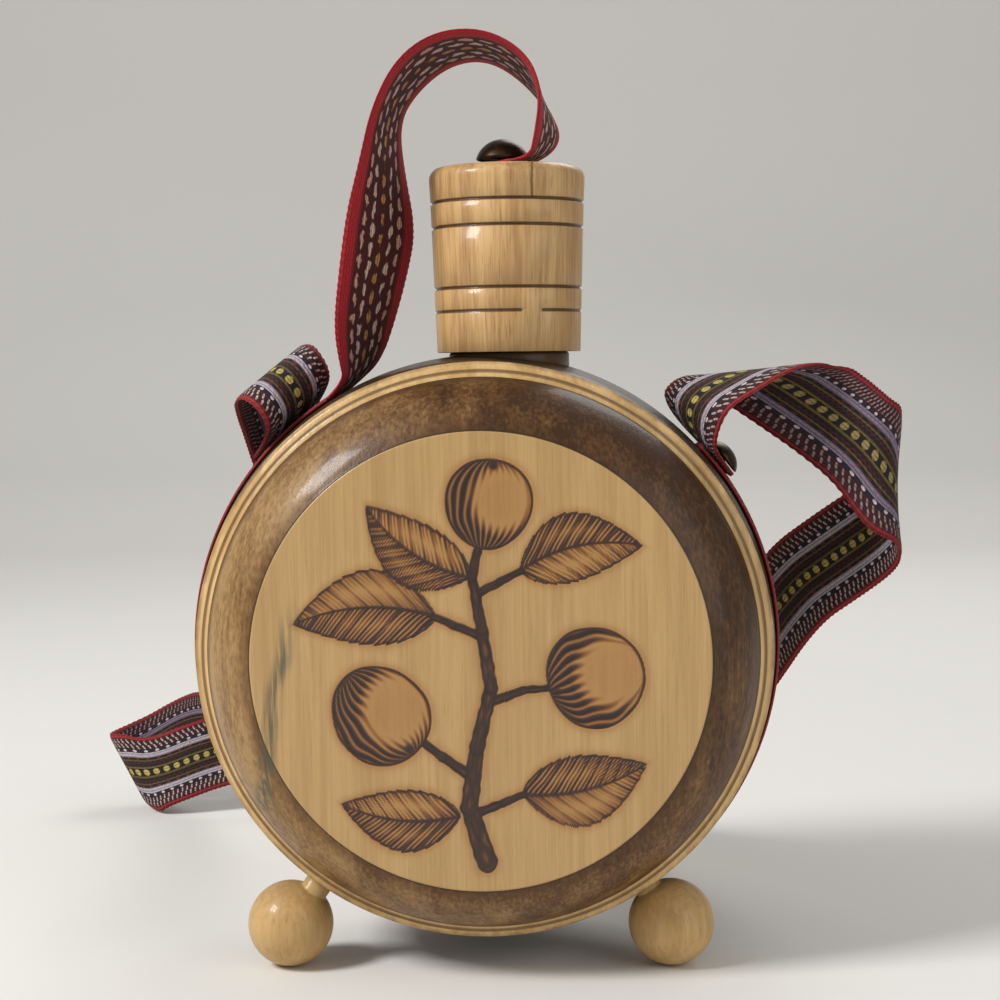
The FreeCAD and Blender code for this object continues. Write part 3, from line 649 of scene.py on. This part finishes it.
# The burnt drawing: a fruit sprig of this script's own design, in millimetres from the disc's centre
sprig = {
    "stem": [(1.0, -47.0, 2.3), (-3.0, -34.0, 1.9), (-1.0, -20.0, 1.6), (2.5, -6.0, 1.4), (0.5, 8.0, 1.2),
             (-1.5, 20.0, 1.0), (0.0, 27.5, 0.8)],  # across, up, half-width
    "twigs": [
        [(-2.2, -27.0, 1.1), (-9.0, -22.0, 0.9), (-15.0, -17.5, 0.7)],
        [(2.6, -9.0, 1.0), (10.0, -6.5, 0.8), (16.0, -6.0, 0.6)],
        [(-3.0, -36.0, 1.0), (5.0, -33.0, 0.8), (10.0, -31.0, 0.6)],
        [(0.8, 6.0, 0.9), (-6.0, 9.0, 0.8), (-11.0, 11.0, 0.6)],
        [(-0.8, 16.0, 0.9), (5.0, 19.0, 0.8), (10.0, 21.5, 0.6)],
    ],
    "leaves": [  # base, tip, half-width, bend
        ((9.5, -31.0), (38.5, -24.0), 8.2, -2.5),
        ((-5.0, -36.0), (-33.0, -33.0), 7.2, 2.5),
        ((-10.0, 11.0), (-43.5, 9.5), 8.6, -3.0),
        ((9.5, 21.5), (38.0, 27.0), 7.8, 3.0),
        ((-2.0, 20.0), (-26.0, 37.0), 7.4, 3.0),
    ],
    "fruits": [  # centre, half-width, half-height, turn in degrees
        ((-23.5, -12.0), 11.2, 12.2, 40.0),
        ((27.0, -3.5), 12.0, 11.4, -70.0),
        ((2.5, 37.0), 10.2, 10.6, 172.0),
    ],
    "across": 308,
    "depth": 0.12,
}


def wobbly(x, z, scale, seed):
    # Cheap smooth noise from a few sine waves
    waves = random.Random(seed)
    total = np.zeros_like(x)
    for number in range(5):
        angle, size, phase = waves.uniform(0, turn), scale * waves.uniform(0.6, 1.7), waves.uniform(0, turn)
        total += np.sin((x * math.cos(angle) + z * math.sin(angle)) * size + phase)
    return total / 5


def over(picture, burn, mask):
    return picture * (1 - mask) + burn * mask


def strokeBurn(x, z, points, picture, warm):
    for first, second in zip(points, points[1:]):
        way = np.array(second[:2]) - np.array(first[:2])
        length = np.hypot(*way)
        share = np.clip(((x - first[0]) * way[0] + (z - first[1]) * way[1]) / length**2, 0, 1)
        away = np.hypot(x - first[0] - share * way[0], z - first[1] - share * way[1])
        half = first[2] + (second[2] - first[2]) * share + 0.22 * wobbly(x, z, 1.4, 3)
        grain = 0.5 + 0.5 * np.sin(away / np.maximum(half, 0.3) * 5 + wobbly(x, z, 0.9, 4) * 3)
        burn = np.clip(0.5 + 0.35 * grain + 0.5 * np.exp(-((away - half) / 0.4) ** 2), 0, 1)
        picture = over(picture, burn, np.clip((half + 0.35 - away) / 0.4, 0, 1))
        warm = np.maximum(warm, 0.7 * np.exp(-(np.maximum(away - half, 0) / 1.3) ** 2))
    return picture, warm


def leafBurn(x, z, base, tip, halfWidth, bend, seed, picture, warm):
    way = np.array(tip) - np.array(base)
    length = np.hypot(*way)
    along = ((x - base[0]) * way[0] + (z - base[1]) * way[1]) / length**2
    aside = (-(x - base[0]) * way[1] + (z - base[1]) * way[0]) / length - bend * 4 * along * (1 - along)
    inner = np.clip(along, 0.0001, 0.9999)
    teeth = 1 + 0.06 * ((inner * 11 + 0.4 * wobbly(x, z, 0.5, seed)) % 1.0)
    half = halfWidth * np.sin(math.pi * inner**0.82) ** 0.85 * teeth
    depth = half - np.abs(aside)
    inside = np.clip(depth / 0.35 + 0.5, 0, 1) * (along > 0) * (along < 1)
    lean = inner * length - np.abs(aside) * 0.95
    veinStep = length / 8.5
    veinAway = np.abs((lean / veinStep + 0.5) % 1 - 0.5) * veinStep
    vein = np.exp(-(veinAway / 0.28) ** 2)
    strokes = 0.5 + 0.5 * np.sin(lean * 5.4 + 1.6 * wobbly(x, z, 0.8, seed + 1))
    rim = np.clip(1 - depth / (halfWidth * 0.55), 0, 1)
    middle = np.clip(1 - np.abs(aside) / (halfWidth * 0.5), 0, 1) * (1 - inner) ** 0.5
    shadeSide = np.where(aside > 0, 0.42, 0.12)
    shade = np.clip(shadeSide + 0.55 * rim + 0.6 * middle, 0, 1)
    burn = 0.06 + shade * (0.15 + 0.8 * strokes) + 0.45 * vein * (0.4 + shade)
    burn = np.maximum(burn, 0.85 * np.exp(-(aside / (0.55 - 0.3 * inner)) ** 2))
    burn = np.maximum(burn, 0.98 * np.exp(-(depth / (0.62 + 0.25 * wobbly(x, z, 0.7, seed + 2))) ** 2))
    picture = over(picture, np.clip(burn, 0, 1), inside)
    outside = np.maximum(-depth, 0) + np.maximum(-along, 0) * length + np.maximum(along - 1, 0) * length
    warm = np.maximum(warm, 0.75 * np.exp(-(outside / 1.2) ** 2))
    return picture, warm


def fruitBurn(x, z, centre, halfWidth, halfHeight, tilt, seed, picture, warm):
    turned = math.radians(tilt)
    across = (x - centre[0]) * math.cos(turned) + (z - centre[1]) * math.sin(turned)
    up = -(x - centre[0]) * math.sin(turned) + (z - centre[1]) * math.cos(turned)
    up = up / halfHeight
    across = across / halfWidth * (1 + 0.08 * up)
    radius = np.hypot(across, up) * (1 + 0.012 * wobbly(x, z, 0.6, seed))
    depth = (1 - radius) * (halfWidth + halfHeight) / 2
    inside = np.clip(depth / 0.35 + 0.5, 0, 1)
    meridian = across / np.sqrt(np.maximum(1.02 - up**2, 0.05))
    strokes = 0.5 + 0.5 * np.sin(meridian * 34 + 1.8 * wobbly(x, z, 0.6, seed + 1))
    light = np.clip(1 - np.hypot((x - centre[0] - 0.3 * halfWidth) / halfWidth,
                                 (z - centre[1] - 0.1 * halfHeight) / halfHeight) * 1.15, 0, 1)
    shade = np.clip(1.0 - 1.7 * light + 0.25 * np.clip(-(x - centre[0]) / halfWidth, 0, 1), 0, 1)
    burn = 0.05 + shade * (0.1 + 0.8 * strokes * shade) + 0.15 * shade**3
    crown = np.hypot(across * halfWidth, (up + 0.86) * halfHeight)  # the dry blossom end
    burn = np.maximum(burn, 0.9 * np.exp(-(crown / 1.3) ** 2))
    burn = np.maximum(burn, 0.98 * np.exp(-(depth / (0.66 + 0.25 * wobbly(x, z, 0.5, seed + 2))) ** 2))
    picture = over(picture, np.clip(burn, 0, 1), inside)
    warm = np.maximum(warm, 0.75 * np.exp(-(np.maximum(-depth, 0) / 1.2) ** 2))
    return picture, warm


def paintSprig(x, z):
    picture, warm = np.zeros_like(x), np.zeros_like(x)
    for number, (base, tip, halfWidth, bend) in enumerate(sprig["leaves"]):
        picture, warm = leafBurn(x, z, base, tip, halfWidth, bend, 20 + number * 5, picture, warm)
    for points in [*sprig["twigs"], sprig["stem"]]:
        picture, warm = strokeBurn(x, z, points, picture, warm)
    for number, (centre, halfWidth, halfHeight, tilt) in enumerate(sprig["fruits"]):
        picture, warm = fruitBurn(x, z, centre, halfWidth, halfHeight, tilt, 60 + number * 5, picture, warm)
    return picture, warm


def addPicture():
    bm = bmesh.new()
    bmesh.ops.create_grid(bm, x_segments=sprig["across"], y_segments=sprig["across"], size=1)
    spots = np.array([vert.co[:2] for vert in bm.verts])
    # A square grid spread evenly over the round disc
    first, second = spots[:, 0], spots[:, 1]
    wide = np.abs(first) > np.abs(second)
    reach = np.where(wide, first, second)
    other = np.where(wide, second, first)
    angle = math.pi / 4 * other / np.where(reach == 0, 1, reach)
    longSide, shortSide = reach * np.cos(angle), reach * np.sin(angle)
    x = np.where(wide, longSide, shortSide) * panel["discRadius"]
    z = np.where(wide, shortSide, longSide) * panel["discRadius"]
    burn, warm = paintSprig(x, z)
    layer = bm.verts.layers.float_color.new("burn")
    front = -panel["crown"] * mm
    for number, vert in enumerate(bm.verts):
        vert.co = (x[number] * mm, front + burn[number] * sprig["depth"] * mm, discHeight + z[number] * mm)
        vert[layer] = (burn[number], warm[number], 0, 1)
    rim = [edge for edge in bm.edges if edge.is_boundary]
    back = bmesh.ops.extrude_edge_only(bm, edges=rim)["geom"]
    backVerts = [item for item in back if isinstance(item, bmesh.types.BMVert)]
    for vert in backVerts:
        vert.co.y = front + 0.3 * mm
    bmesh.ops.contextual_create(bm, geom=[item for item in back if isinstance(item, bmesh.types.BMEdge)
                                          and item.verts[0] in backVerts and item.verts[1] in backVerts])
    return makeObject("picture_disc", bm, "picture", "flask", ["front_panel"])


addPicture()
print("picture burnt")


# Barrel: radius, then depth, in millimetres
barrel = {
    "radius": 71.8, "rimRadius": 70.0, "rimDepth": 23.0, "faceDepth": 27.0, "panelRadius": 66.4, "bore": 62.0,
    "ledge": 21.5, "bead": (68.2, 25.0), "beadRound": 1.9, "segments": 240,
}


def addBarrel():
    sag = barrel["radius"] - barrel["rimRadius"]
    belly = (barrel["rimDepth"] ** 2 + sag**2) / (2 * sag)
    rim, bead = (barrel["rimRadius"], barrel["rimDepth"]), barrel["bead"]
    face = (barrel["panelRadius"], barrel["faceDepth"])
    rear = [rim, *arc(rim, bead, -barrel["beadRound"], 8), bead, *arc(bead, face, -barrel["beadRound"], 8),
            face, (barrel["panelRadius"], barrel["ledge"]), (barrel["bore"], barrel["ledge"])]
    front = [(point[0], -point[1], *point[2:]) for point in reversed(rear)]
    start = (barrel["rimRadius"], -barrel["rimDepth"])
    profile = [*front, *arc(start, rim, belly, 12), *rear]
    bm = lathe(softened(profile), barrel["segments"], True)
    bmesh.ops.transform(bm, matrix=toRear, verts=bm.verts)
    return makeObject("barrel_turned", bm, "barrel", "flask", ["barrel"])


addBarrel()


# Cap: radius, then height above its foot
cap = {
    "footRadius": 17.9, "topRadius": 19.4, "height": 45.7, "round": 3.0, "bore": 12.5, "ceiling": 28.3,
    "grooves": [(10.0, 0.35), (15.7, 0.6), (30.7, 0.6), (36.9, 0.6)],  # height, depth
    "grooveHalfWidth": 0.55, "segments": 160,
    "gap": (3.6, 8.6),  # where the lowest groove is missing, right of the cap's axis
}


def addCap():
    def radiusAt(height):
        return cap["footRadius"] + (cap["topRadius"] - cap["footRadius"]) * height / cap["height"]

    half = cap["grooveHalfWidth"]
    profile = [(cap["bore"], 0.6, "arc"), (cap["bore"] + 0.6, 0, "arc"), (cap["footRadius"], 0)]
    marks = []
    for height, depth in cap["grooves"]:
        profile.append((radiusAt(height - half), height - half, "arc"))
        for share, cut in ((-0.5, 0.55), (0.0, 1.0), (0.5, 0.55)):
            marks.append(len(softened(profile)))
            profile.append((radiusAt(height) - depth * cut, height + share * half, "arc"))
        profile.append((radiusAt(height + half), height + half, "arc"))
    shoulder = (cap["topRadius"], cap["height"] - cap["round"])
    top = (cap["topRadius"] - cap["round"], cap["height"])
    profile += [(*shoulder, "arc"), *arc(shoulder, top, cap["round"], 10), (*top, "arc"), (0, cap["height"]),
                (0, cap["ceiling"]), (cap["bore"], cap["ceiling"])]
    bm = lathe(softened(profile), cap["segments"], True, {number: 1.0 for number in marks})
    layer = bm.verts.layers.float["burn"]
    low, depth = cap["grooves"][0]
    for vert in bm.verts:  # the lowest groove was left open for a short way at the front
        inGap = cap["gap"][0] * mm < vert.co.x < cap["gap"][1] * mm and vert.co.y < 0
        if inGap and abs(vert.co.z - low * mm) < half * mm and vert[layer] > 0:
            vert[layer] = 0.0
            reach = radiusAt(low) * mm / math.hypot(vert.co.x, vert.co.y)
            vert.co.x *= reach
            vert.co.y *= reach
    bmesh.ops.transform(bm, matrix=Matrix.Translation((neckSide, 0, capLow[2])), verts=bm.verts)
    return makeObject("cap_turned", bm, "cap", "cap", ["cap"])


addCap()


# Neck, cork, tacks and feet
def addTurned(name, node, corners, material, body, place, segments=96, closed=False, paintedShadeTop=None):
    bm = lathe(softened(corners, 0.1), segments, closed)
    if paintedShadeTop:  # painted shade, dark up to this height
        layer = bm.verts.layers.float["burn"]
        for vert in bm.verts:
            vert[layer] = 1.0 if vert.co.z < paintedShadeTop * mm else 0.0
    bmesh.ops.transform(bm, matrix=place, verts=bm.verts)
    return makeObject(name, bm, material, body, [node])


neck = {
    "bore": 6.15, "tenon": 10.0, "collar": 15.0, "collarStart": 6.6, "collarTop": 10.7, "collarEdge": 0.5,
    "radius": 12.0, "height": 36.4, "lipRound": 1.6, "mouthEdge": 1.2,
}
lipStart = (neck["radius"], neck["height"] - neck["lipRound"])
lipEnd = (neck["radius"] - neck["lipRound"], neck["height"])
# The collar under the cap is painted dark, as painted shade cast by the cap
addTurned("neck_turned", "neck", [
    (neck["bore"], 0), (neck["tenon"], 0), (neck["tenon"], neck["collarStart"]),
    (neck["collar"], neck["collarStart"]), (neck["collar"], neck["collarTop"] - neck["collarEdge"]),
    (neck["collar"] - neck["collarEdge"], neck["collarTop"]), (neck["radius"], neck["collarTop"]),
    (*lipStart, "arc"), *arc(lipStart, lipEnd, neck["lipRound"], 8), (*lipEnd, "arc"),
    (neck["bore"] + neck["mouthEdge"], neck["height"]), (neck["bore"], neck["height"] - neck["mouthEdge"]),
], "pale", "flask", Matrix.Translation((neckSide, 0, neckLow[2])), closed=True,
    paintedShadeTop=neck["collarTop"] + 0.2)

corkLow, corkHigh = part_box("cork_stopper")
cork = {"tipRadius": 4.85, "edgeRadius": 5.55, "edge": 0.7, "plugRadius": 5.9, "plug": 16.6,
        "headRadius": 9.0, "height": 20.6}
addTurned("cork_cut", "cork_stopper", [
    (0, 0), (cork["tipRadius"], 0), (cork["edgeRadius"], cork["edge"]), (cork["plugRadius"], cork["plug"]),
    (cork["headRadius"], cork["plug"]), (cork["headRadius"], cork["height"]), (0, cork["height"]),
], "cork", "cap", Matrix.Translation((neckSide, 0, corkLow[2])))


def standAt(point, direction):  # at a point, with Z along a direction
    return Matrix.Translation(point) @ Vector(direction).to_track_quat("Z", "Y").to_matrix().to_4x4()


# Tacks: radius and height of the dome and length of the shank, in millimetres
tacks = {"cap": (6.6, 5.2, 10.0), "shoulder": (5.0, 2.9, 9.0), "shankRadius": 1.2, "tip": 2, "edge": 0.35}


def addTack(name, node, body, size, place):
    dome, height, shank = size
    thin, edge = tacks["shankRadius"], tacks["edge"]
    rounding = (dome**2 + height**2) / (2 * height)
    rim, top = (dome, edge), (0, height)
    corners = [(0, -shank), (thin, tacks["tip"] - shank), (thin, 0.3), (dome - 0.9, 0.45), (dome - edge, 0),
               (*rim, "arc"), *arc(rim, top, rounding, 12), top]
    return addTurned(name, node, corners, "bronze", body, place, 64)


tackLow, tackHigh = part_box("cap_tack")
tackSide = (tackLow[0] + tackHigh[0]) / 2
addTack("cap_tack_domed", "cap_tack", "cap", tacks["cap"],
        Matrix.Translation((tackSide, 0, tackHigh[2] - tacks["cap"][1] * mm)))
studs = {"shoulder_tack_left": (131.0, 0.0), "shoulder_tack_right": (37.0, 3.0), "seat": 74.95}
for node in ("shoulder_tack_left", "shoulder_tack_right"):
    angle, depth = math.radians(studs[node][0]), studs[node][1]
    outward = (math.cos(angle), 0, math.sin(angle))
    seat = (studs["seat"] * mm * outward[0], depth * mm, discHeight + studs["seat"] * mm * outward[2])
    addTack(node + "_domed", node, "flask", tacks["shoulder"], standAt(seat, outward))

# Feet: radius of the ball and of its neck, which ends this far from the disc's axis
footNeckEnd = 64.25
feet = {"foot_front_left": (10.5, 3.4), "foot_front_right": (10.5, 3.4), "foot_rear": (3.8, 2.4)}
for node, (radius, neckRadius) in feet.items():
    low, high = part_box(node)
    middle = (low[1] + high[1]) / 2
    side = low[0] + radius * mm if low[0] < -0.02 else high[0] - radius * mm
    if node == "foot_rear":
        side = (low[0] + high[0]) / 2
    centre = Vector((side, middle, low[2] + radius * mm))
    towards = Vector((0, middle, discHeight)) - centre
    reach = towards.length / mm - footNeckEnd
    seatHeight = math.sqrt(radius**2 - neckRadius**2)
    bottom, seat = (0, -radius), (neckRadius, seatHeight)
    ball = [bottom, *arc(bottom, (radius, 0), radius, 16), (radius, 0, "arc"),
            *arc((radius, 0), seat, radius, 16), seat, (neckRadius, reach), (0, reach)]
    addTurned(node + "_turned", node, ball, "pale", "flask", standAt(centre, towards), 96)
print("turned pieces done")


# Straps: the middle line and the way across the band, in millimetres, close to the part's source
tether = {
    "length": 0.155,
    "route": [
        (2.0, 0.0, 197.0, -10, 22, 0),
        (11.5, -0.5, 197.2, -2, 24, 0),
        (17.4, -1.5, 203.0, 7, 23, 0),
        (16.0, -3.0, 212.5, 1, 24, 0),
        (11.0, -4.5, 220.8, -3, 23.5, -2),
        (2.0, -5.5, 226.0, -1, 23.5, -3.7),
        (-8.5, -6.0, 225.2, 2, 23, -4.5),
        (-17.5, -6.2, 218.8, 3, 23, -5),
        (-23.0, -6.4, 209.0, 4.5, 23.5, -1),
        (-24.0, -6.4, 196.0, 9, 22, 0),
        (-24.5, -6.0, 182.5, 15, 18.5, -2),
        (-26.6, -5.0, 170.5, 15, 18.5, 2),
        (-29.2, -3.0, 158.5, 13, 20, 2),
        (-30.6, -0.8, 149.0, 8, 22.5, 1),
        (-33.2, 0.8, 144.0, 1, 24, 0),
        (-37.9, 1.0, 139.9, 0, 24, 0),
    ],
}
carry = {
    "length": 0.749,
    "route": [
        (-51.4, 8.0, 131.4, 13, 15, 12),
        (-46.6, -4.4, 135.9, 13, 15, 12),
        (-45.0, -11.0, 140.6, 13, 15, 12),
        (-49.0, -11.0, 146.5, 13, 15, 12),
        (-53.5, -3.5, 146.8, 13, 15, 12),
        (-55.2, 6.5, 143.6, 13, 15, 12),
        (-54.4, 18.0, 136.2, 15, 13, 12),
        (-51.0, 31.0, 122.0, 19, 11, 8),
        (-53.0, 43.0, 100.0, 22.5, 8, 2),
        (-58.5, 59.0, 78.0, 22, 7, -6),
        (-65.5, 80.0, 58.5, 20, 2, -13),
        (-75.0, 105.0, 42.5, 16, -3, -17),
        (-86.0, 132.0, 34.5, 11, -6, -20),
        (-97.5, 157.0, 27.7, 7, -9, -21),
        (-111.0, 172.0, 24.0, 6, -10, -20.5),
        (-123.5, 174.0, 16.3, 8, -11, -19),
        (-130.5, 165.0, 13.2, 11, -6, -19),
        (-127.5, 155.5, 12.9, 12, -5, -19),
        (-117.0, 150.5, 13.3, 10, -10, -19),
        (-100.5, 155.0, 19.4, 7, -10, -21),
        (-80.0, 161.0, 22.5, 5, -12, -20),
        (-55.0, 159.0, 19.0, 4, -14, -19),
        (-28.0, 149.0, 14.5, 5, -14, -19),
        (-2.0, 132.0, 13.0, 8, -13, -18.5),
        (21.0, 113.0, 15.5, 11, -11, -18),
        (41.0, 93.0, 25.0, 12, -10, -18),
        (57.0, 72.0, 42.0, 12, -10, -18),
        (69.0, 51.0, 64.5, 12, -9, -18),
        (80.0, 32.0, 87.0, 12, -7, -20.5),
        (91.0, 22.0, 96.5, 12, -7, -20.5),
        (99.6, 13.5, 104.0, 8, -9, -21.5),
        (103.4, 5.5, 109.0, 2, -13, -21),
        (102.6, -1.5, 114.5, -3, -11, -22),
        (99.3, -4.5, 120.5, -8, -4, -23),
        (94.5, -4.5, 127.0, -13, 2, -21),
        (87.5, -2.5, 133.0, -21.5, 4, -15),
        (80.5, -0.5, 138.2, -29, 7, -11.5),
        (74.2, 1.0, 142.6, -35, 11, -7),
        (69.4, -1.0, 145.2, -35, 14, -4.5),
        (64.0, -4.0, 144.6, -28, 19, -2),
        (58.3, -6.3, 142.2, -18.6, 20, 3.5),
        (53.2, -7.2, 139.2, -12, 19.5, 5.5),
        (51.2, -5.6, 135.0, -12, 18.5, 8),
        (52.7, -2.6, 130.0, -8, 21, 7),
        (57.0, 1.5, 125.0, -3, 23.5, 3),
        (61.4, 4.0, 119.6, 0, 24, 0),
    ],
}
strap = {
    "halfWidth": 12.5 * mm,
    "thickness": 1.15 * mm,
    "columns": 22,  # quads across one face
    "scallop": 0.22 * mm,
    "endAcross": 12.3,  # the cut ends take the colour found this far from the middle
    "ridges": [(0.0, 0.10), (0.49, 0.12), (0.82, 0.06)],  # share of the half-width, height in millimetres
    "smoothness": 38,  # points read per run of the route
}


def splinePoints(points, name):
    # A smooth line with the route as its control points, read back as points
    curve = bpy.data.curves.new(name, "CURVE")
    curve.dimensions = "3D"
    spline = curve.splines.new("NURBS")
    spline.points.add(len(points) - 1)
    for item, point in zip(spline.points, points):
        item.co = (*point, 1.0)
    spline.order_u = 3
    spline.use_endpoint_u = True
    spline.resolution_u = strap["smoothness"]
    item = bpy.data.objects.new(name, curve)
    mesh = bpy.data.meshes.new_from_object(item)
    line = [vert.co.copy() for vert in mesh.vertices]
    bpy.data.objects.remove(item)
    bpy.data.curves.remove(curve)
    bpy.data.meshes.remove(mesh)
    return line


def strapLines(route, name):
    middle = [Vector(row[:3]) * mm for row in route]
    edge = [point + Vector(row[3:]).normalized() * strap["halfWidth"] for point, row in zip(middle, route)]
    line = splinePoints(middle, name + "Line")
    ways = [(far - near).normalized() for near, far in zip(line, splinePoints(edge, name + "Edge"))]
    return line, ways


def bandMesh(line, ways):
    # The band's section at every point of its line, joined into a closed skin with its own UV map
    bm = bmesh.new()
    uvLayer = bm.loops.layers.uv.new("strap")
    columns = strap["columns"]
    shares = [1 - 2 * number / columns for number in range(columns + 1)]
    around = [(share, 1) for share in shares] + [(share, -1) for share in reversed(shares[1:-1])]
    rows, runs = [], []
    run = 0.0
    for number, point in enumerate(line):
        before, after = line[max(number - 1, 0)], line[min(number + 1, len(line) - 1)]
        tangent = (after - before).normalized()
        if number:
            run += (point - line[number - 1]).length
        wide = ways[number]
        normal = tangent.cross(wide)
        reach = strap["halfWidth"] / normal.length
        normal.normalize()
        wave = math.cos(turn * run / mm / (braid["pitch"] / 2))
        row = []
        for share, side in around:
            size = abs(share)
            half = strap["thickness"] / 2 * math.sqrt(max(1 - size**10, 0.0))
            for where, height in strap["ridges"]:
                half += height * mm * 0.5 * math.exp(-((size - where) / 0.05) ** 2)
            edgeShift = strap["scallop"] * (wave - 1) / 2 * max(size - 0.9, 0) * 10
            half = half if size < 1 else 0.0
            offset = wide * math.copysign(size * reach + edgeShift, share) if size else Vector()
            row.append(bm.verts.new(point + offset + normal * half * side))
        rows.append(row)
        runs.append(run / mm)
    count = len(around)
    for number in range(len(rows) - 1):
        for column in range(count):
            following = (column + 1) % count
            corners = [rows[number][column], rows[number][following], rows[number + 1][following],
                       rows[number + 1][column]]
            face = bm.faces.new(corners)
            second = column >= columns
            values = [around[column][0], around[following][0]]
            lengths = [runs[number], runs[number], runs[number + 1], runs[number + 1]]
            for loop, length, place in zip(face.loops, lengths, (0, 1, 1, 0)):
                across = values[place] * braid["halfWidth"] + (braid["secondFace"] if second else 0)
                loop[uvLayer].uv = (length, across)
    for end in (rows[0], rows[-1]):
        face = bm.faces.new(end)
        for loop, (share, side) in zip(face.loops, around):
            loop[uvLayer].uv = (runs[0] if end is rows[0] else runs[-1], strap["endAcross"])
    return bm


def addStrap(name, settings, material, node):
    line, ways = strapLines(settings["route"], name)
    item = makeObject(name, bandMesh(line, ways), material, None, [node])
    return item, line


tetherStrap, tetherLine = addStrap("tether_woven", tether, "tether", "strap_tether")
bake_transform(tetherStrap, "flask", "cap", start=(-0.034, 0.0, 0.145), end=(-0.024, 0.0, 0.205))
carryStrap, carryLine = addStrap("carry_woven", carry, "carry", "strap_carry")
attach(carryStrap, "flask")

girth = {"from": 122.0, "to": 402.0, "depth": 1.0, "rise": 72.5, "inset": 0.05, "bellySag": 1.8,
         "steps": 700}


def addGirth():
    # The same braid laid round the barrel, under the disc from shoulder to shoulder
    line, ways = [], []
    for number in range(girth["steps"] + 1):
        angle = math.radians(girth["from"] + (girth["to"] - girth["from"]) * number / girth["steps"])
        reach = (girth["rise"] - girth["inset"]) * mm
        line.append(Vector((reach * math.cos(angle), girth["depth"] * mm,
                            discHeight + reach * math.sin(angle))))
        ways.append(Vector((0, 1, 0)))
    bm = bandMesh(line, ways)
    for vert in bm.verts:  # the band follows the belly of the barrel
        depth = vert.co.y / mm
        lift = girth["bellySag"] * (depth / barrel["rimDepth"]) ** 2 * mm
        outward = Vector((vert.co.x, 0, vert.co.z - discHeight)).normalized()
        vert.co -= outward * lift
    return makeObject("girth_woven", bm, "carry", "flask", ["strap_girth"])


addGirth()
print("straps woven")


# Floor, backdrop and lights
studio = {
    "floor": tint(233, 231, 226),
    "reach": 3.0,
    "wallDepth": 1.1,
    "bend": 0.5,
    "key": {"place": (-0.85, -0.52, 0.9), "size": 0.35, "power": 14.0},
    "fill": {"place": (0.95, -0.7, 0.5), "size": 0.9, "power": 3.2},
    "back": {"place": (0.3, 0.85, 0.9), "size": 0.6, "power": 3.5},
    "ambient": 0.33,
}


def addStudio():
    bm = bmesh.new()
    bmesh.ops.create_grid(bm, x_segments=1, y_segments=24, size=1)
    for vert in bm.verts:
        share = (vert.co.y + 1) / 2
        vert.co.x *= studio["reach"]
        run = share * (studio["reach"] + studio["wallDepth"] + 2.0) - studio["reach"]
        arcLength = studio["bend"] * math.pi / 2
        if run < studio["wallDepth"]:
            vert.co.y, vert.co.z = run, 0
        elif run < studio["wallDepth"] + arcLength:
            angle = (run - studio["wallDepth"]) / studio["bend"]
            vert.co.y = studio["wallDepth"] + studio["bend"] * math.sin(angle)
            vert.co.z = studio["bend"] * (1 - math.cos(angle))
        else:
            vert.co.y = studio["wallDepth"] + studio["bend"]
            vert.co.z = studio["bend"] + run - studio["wallDepth"] - arcLength
    mesh = bpy.data.meshes.new("paleFloor")
    bm.to_mesh(mesh)
    bm.free()
    mesh.polygons.foreach_set("use_smooth", [True] * len(mesh.polygons))
    material, tree, shader = newMaterial("paleFloor", Roughness=0.9, Base_Color=studio["floor"])
    mesh.materials.append(material)
    floor = bpy.data.objects.new("paleFloor", mesh)
    bpy.context.scene.collection.objects.link(floor)
    for name in ("key", "fill", "back"):
        lamp = bpy.data.lights.new(name, "AREA")
        lamp.size = studio[name]["size"]
        lamp.energy = studio[name]["power"]
        item = bpy.data.objects.new(name, lamp)
        bpy.context.scene.collection.objects.link(item)
        aim = Vector((0, 0, 0.1)) - Vector(studio[name]["place"])
        turned = aim.to_track_quat("-Z", "Y").to_matrix().to_4x4()
        item.matrix_world = Matrix.Translation(studio[name]["place"]) @ turned
    world = bpy.data.worlds.new("studio")
    world.use_nodes = True
    world.node_tree.nodes["Background"].inputs["Color"].default_value = (1.0, 0.99, 0.97, 1.0)
    world.node_tree.nodes["Background"].inputs["Strength"].default_value = studio["ambient"]
    bpy.context.scene.world = world


addStudio()
print("studio set")
